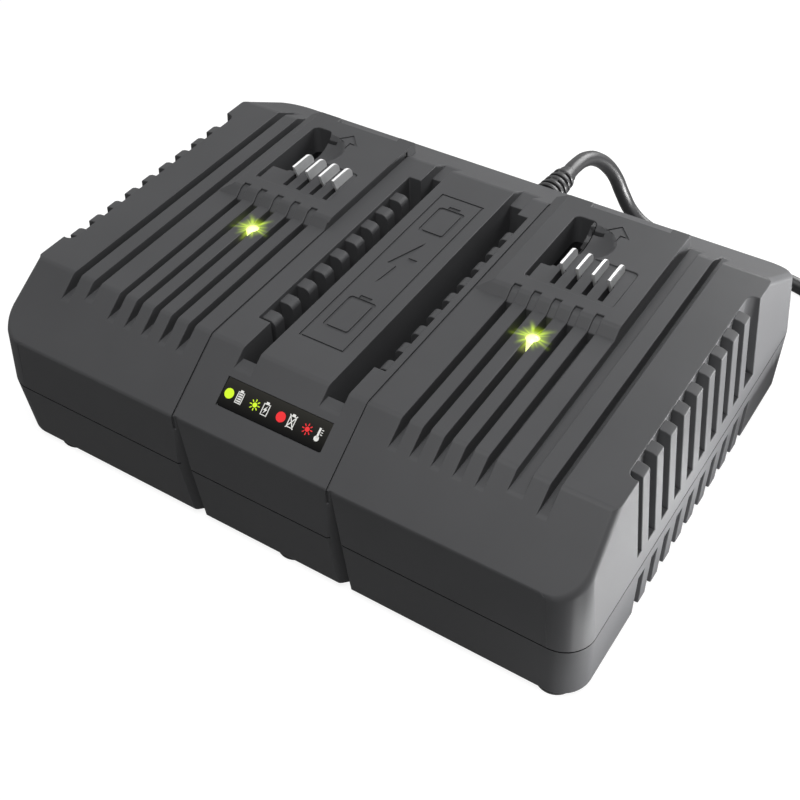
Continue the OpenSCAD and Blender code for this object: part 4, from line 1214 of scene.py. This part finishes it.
class CHARGER_OT_cans(bpy.types.Operator):
    """Finishes the capacitors and heat sinks"""

    bl_idname = "charger.cans"
    bl_label = "Capacitors and heat sinks"

    def execute(self, context):
        tops = metal("Can top", (0.72, 0.73, 0.75), 0.35)
        blue = surface("Blue sleeve", (0.02, 0.035, 0.12), 0.3, group={"Drift": 0.1})
        black = surface("Black sleeve", (0.014, 0.014, 0.015), 0.3, group={"Drift": 0.1})
        dip = surface("Yellow case", (0.62, 0.42, 0.04), 0.35, bump=0.15, group={"Grain": 900.0})
        finned = metal("Sawn aluminium", (0.74, 0.75, 0.77), 0.4, (400.0, 9000.0, 400.0), 0.3)
        eased(
            "bulk_capacitors", "mains_cans", (blue, tops),
            0.0004, 2, at_top(BULK_TOP),
        )
        eased(
            "output_capacitors", "output_cans", (black, tops),
            0.0003, 2, at_top(OUTPUT_TOP),
        )
        eased("filter_capacitor", "filter_box", dip, 0.0009, 3)
        for side in ("left", "right"):
            eased(side + "_heat_sink", side + "_fins", finned, 0.0003)
        return {"FINISHED"}


class CHARGER_OT_wiring(bpy.types.Operator):
    """Finishes the wires and the headers that they plug into"""

    bl_idname = "charger.wiring"
    bl_label = "Wiring"

    def execute(self, context):
        nylon = surface("Header nylon", (0.72, 0.69, 0.6), 0.45, bump=0.2, group={"Grain": 2400.0})
        bay = surface("Bay wire", (0.45, 0.02, 0.015), 0.35, group={"Drift": 0.08})
        mains = surface("Mains wire", (0.02, 0.045, 0.22), 0.35, group={"Drift": 0.08})
        eased("terminal_headers", "bay_headers", nylon, 0.0005)
        eased("mains_header", "mains_socket", nylon, 0.0005)
        dress("left_bay_wires", bay)
        dress("right_bay_wires", bay)
        dress("mains_wires", mains)
        return {"FINISHED"}


# Stage


# How bright the floor is to the camera and in reflections, and how brightly the surround lights
FLOOR_SEEN = 0.88
FLOOR_MIRRORED = 0.1
SURROUND_LIGHT = 0.025
# The lamps: name, place, aim, width and height, and power in watts
LAMPS = (
    ("Key", (340, 130, 18), (120, 25, 18), (260, 30), 2.5),
    ("Top", (120, -240, 880), (0, 0, 0), (600, 600), 7.6),
    ("Rear", (140, 420, 230), (60, 0, 55), (250, 250), 1.6),
    ("Card", (160, -40, 3), (120, -40, 9), (160, 5), 0.11),
)


def floor_material():
    """Pale floor: white to the camera, but for the shade that the charger casts."""
    material = bpy.data.materials.new("Floor")
    material.use_nodes = True
    tree = material.node_tree
    shader = tree.nodes["Principled BSDF"]
    shader.inputs["Base Color"].default_value = (0.22, 0.22, 0.22, 1.0)
    shader.inputs["Roughness"].default_value = 1.0
    shader.inputs["Specular IOR Level"].default_value = 0.0
    shader.inputs["Emission Color"].default_value = (1.0, 1.0, 1.0, 1.0)
    path = add(tree, "LightPath")
    mirrored = calc(tree, "MAXIMUM", (path, "Is Glossy Ray"), (path, "Is Transmission Ray"))
    seen = calc(tree, "MULTIPLY", (path, "Is Camera Ray"), FLOOR_SEEN)
    white = calc(tree, "MULTIPLY_ADD", mirrored, FLOOR_MIRRORED, seen)
    feed(tree, white, shader.inputs["Emission Strength"])
    return material


def surround(scene):
    """A world that is white to the camera and in reflections, and lights softly."""
    world = bpy.data.worlds.new("Surround")
    world.use_nodes = True
    scene.world = world
    tree = world.node_tree
    background = tree.nodes["Background"]
    background.inputs["Color"].default_value = (1.0, 1.0, 1.0, 1.0)
    path = add(tree, "LightPath")
    seen = calc(tree, "MAXIMUM", (path, "Is Camera Ray"), (path, "Is Transmission Ray"))
    seen = calc(tree, "MAXIMUM", seen, (path, "Is Glossy Ray"))
    feed(tree, spread(tree, seen, SURROUND_LIGHT, 1.0), background.inputs["Strength"])


def lamp(name, place, aim, size, power):
    """A soft rectangular lamp that the camera doesn't see. place, aim and size are millimetres."""
    light = bpy.data.lights.new(name, "AREA")
    light.shape = "RECTANGLE"
    light.size = size[0] * MM
    light.size_y = size[1] * MM
    light.energy = power
    obj = bpy.data.objects.new(name, light)
    obj.location = mm(*place)
    obj.rotation_mode = "QUATERNION"
    obj.rotation_quaternion = (mm(*aim) - mm(*place)).to_track_quat("-Z", "Y")
    obj.visible_camera = False
    bpy.context.scene.collection.objects.link(obj)


class CHARGER_OT_stage(bpy.types.Operator):
    """A pale floor, a white surround and soft studio lamps"""

    bl_idname = "charger.stage"
    bl_label = "Stage"

    def execute(self, context):
        bm = bmesh.new()
        bmesh.ops.create_grid(bm, x_segments=1, y_segments=1, size=4.0)
        floor = mesh_object("floor", bm)
        floor.data.materials.append(floor_material())
        context.scene.collection.objects.link(floor)
        surround(context.scene)
        for settings in LAMPS:
            lamp(*settings)
        context.scene.view_settings.view_transform = "Standard"
        return {"FINISHED"}


OPERATORS = (
    CHARGER_OT_camera,
    CHARGER_OT_cord,
    CHARGER_OT_housing,
    CHARGER_OT_terminals,
    CHARGER_OT_lamps,
    CHARGER_OT_panel,
    CHARGER_OT_board,
    CHARGER_OT_windings,
    CHARGER_OT_cans,
    CHARGER_OT_wiring,
    CHARGER_OT_stage,
)


class CHARGER_PT_sidebar(bpy.types.Panel):
    """Sizes, colours and pieces of the charger"""

    bl_idname = "CHARGER_PT_sidebar"
    bl_label = "Charger"
    bl_space_type = "VIEW_3D"
    bl_region_type = "UI"
    bl_category = "Charger"

    def draw(self, context):
        for key, group in GROUPS.items():
            for prop in group.__annotations__:
                self.layout.prop(getattr(context.scene, key), prop)
        for operator in OPERATORS:
            self.layout.operator(operator.bl_idname)


CLASSES = (*GROUPS.values(), *OPERATORS, CHARGER_PT_sidebar)


def register():
    for item in CLASSES:
        bpy.utils.register_class(item)
    for key, group in GROUPS.items():
        setattr(bpy.types.Scene, key, PointerProperty(type=group))


def unregister():
    for key in GROUPS:
        delattr(bpy.types.Scene, key)
    for item in reversed(CLASSES):
        bpy.utils.unregister_class(item)


def main():
    register()
    for operator in OPERATORS:
        family, action = operator.bl_idname.split(".")
        getattr(getattr(bpy.ops, family), action)()


if __name__ == "__main__":
    main()
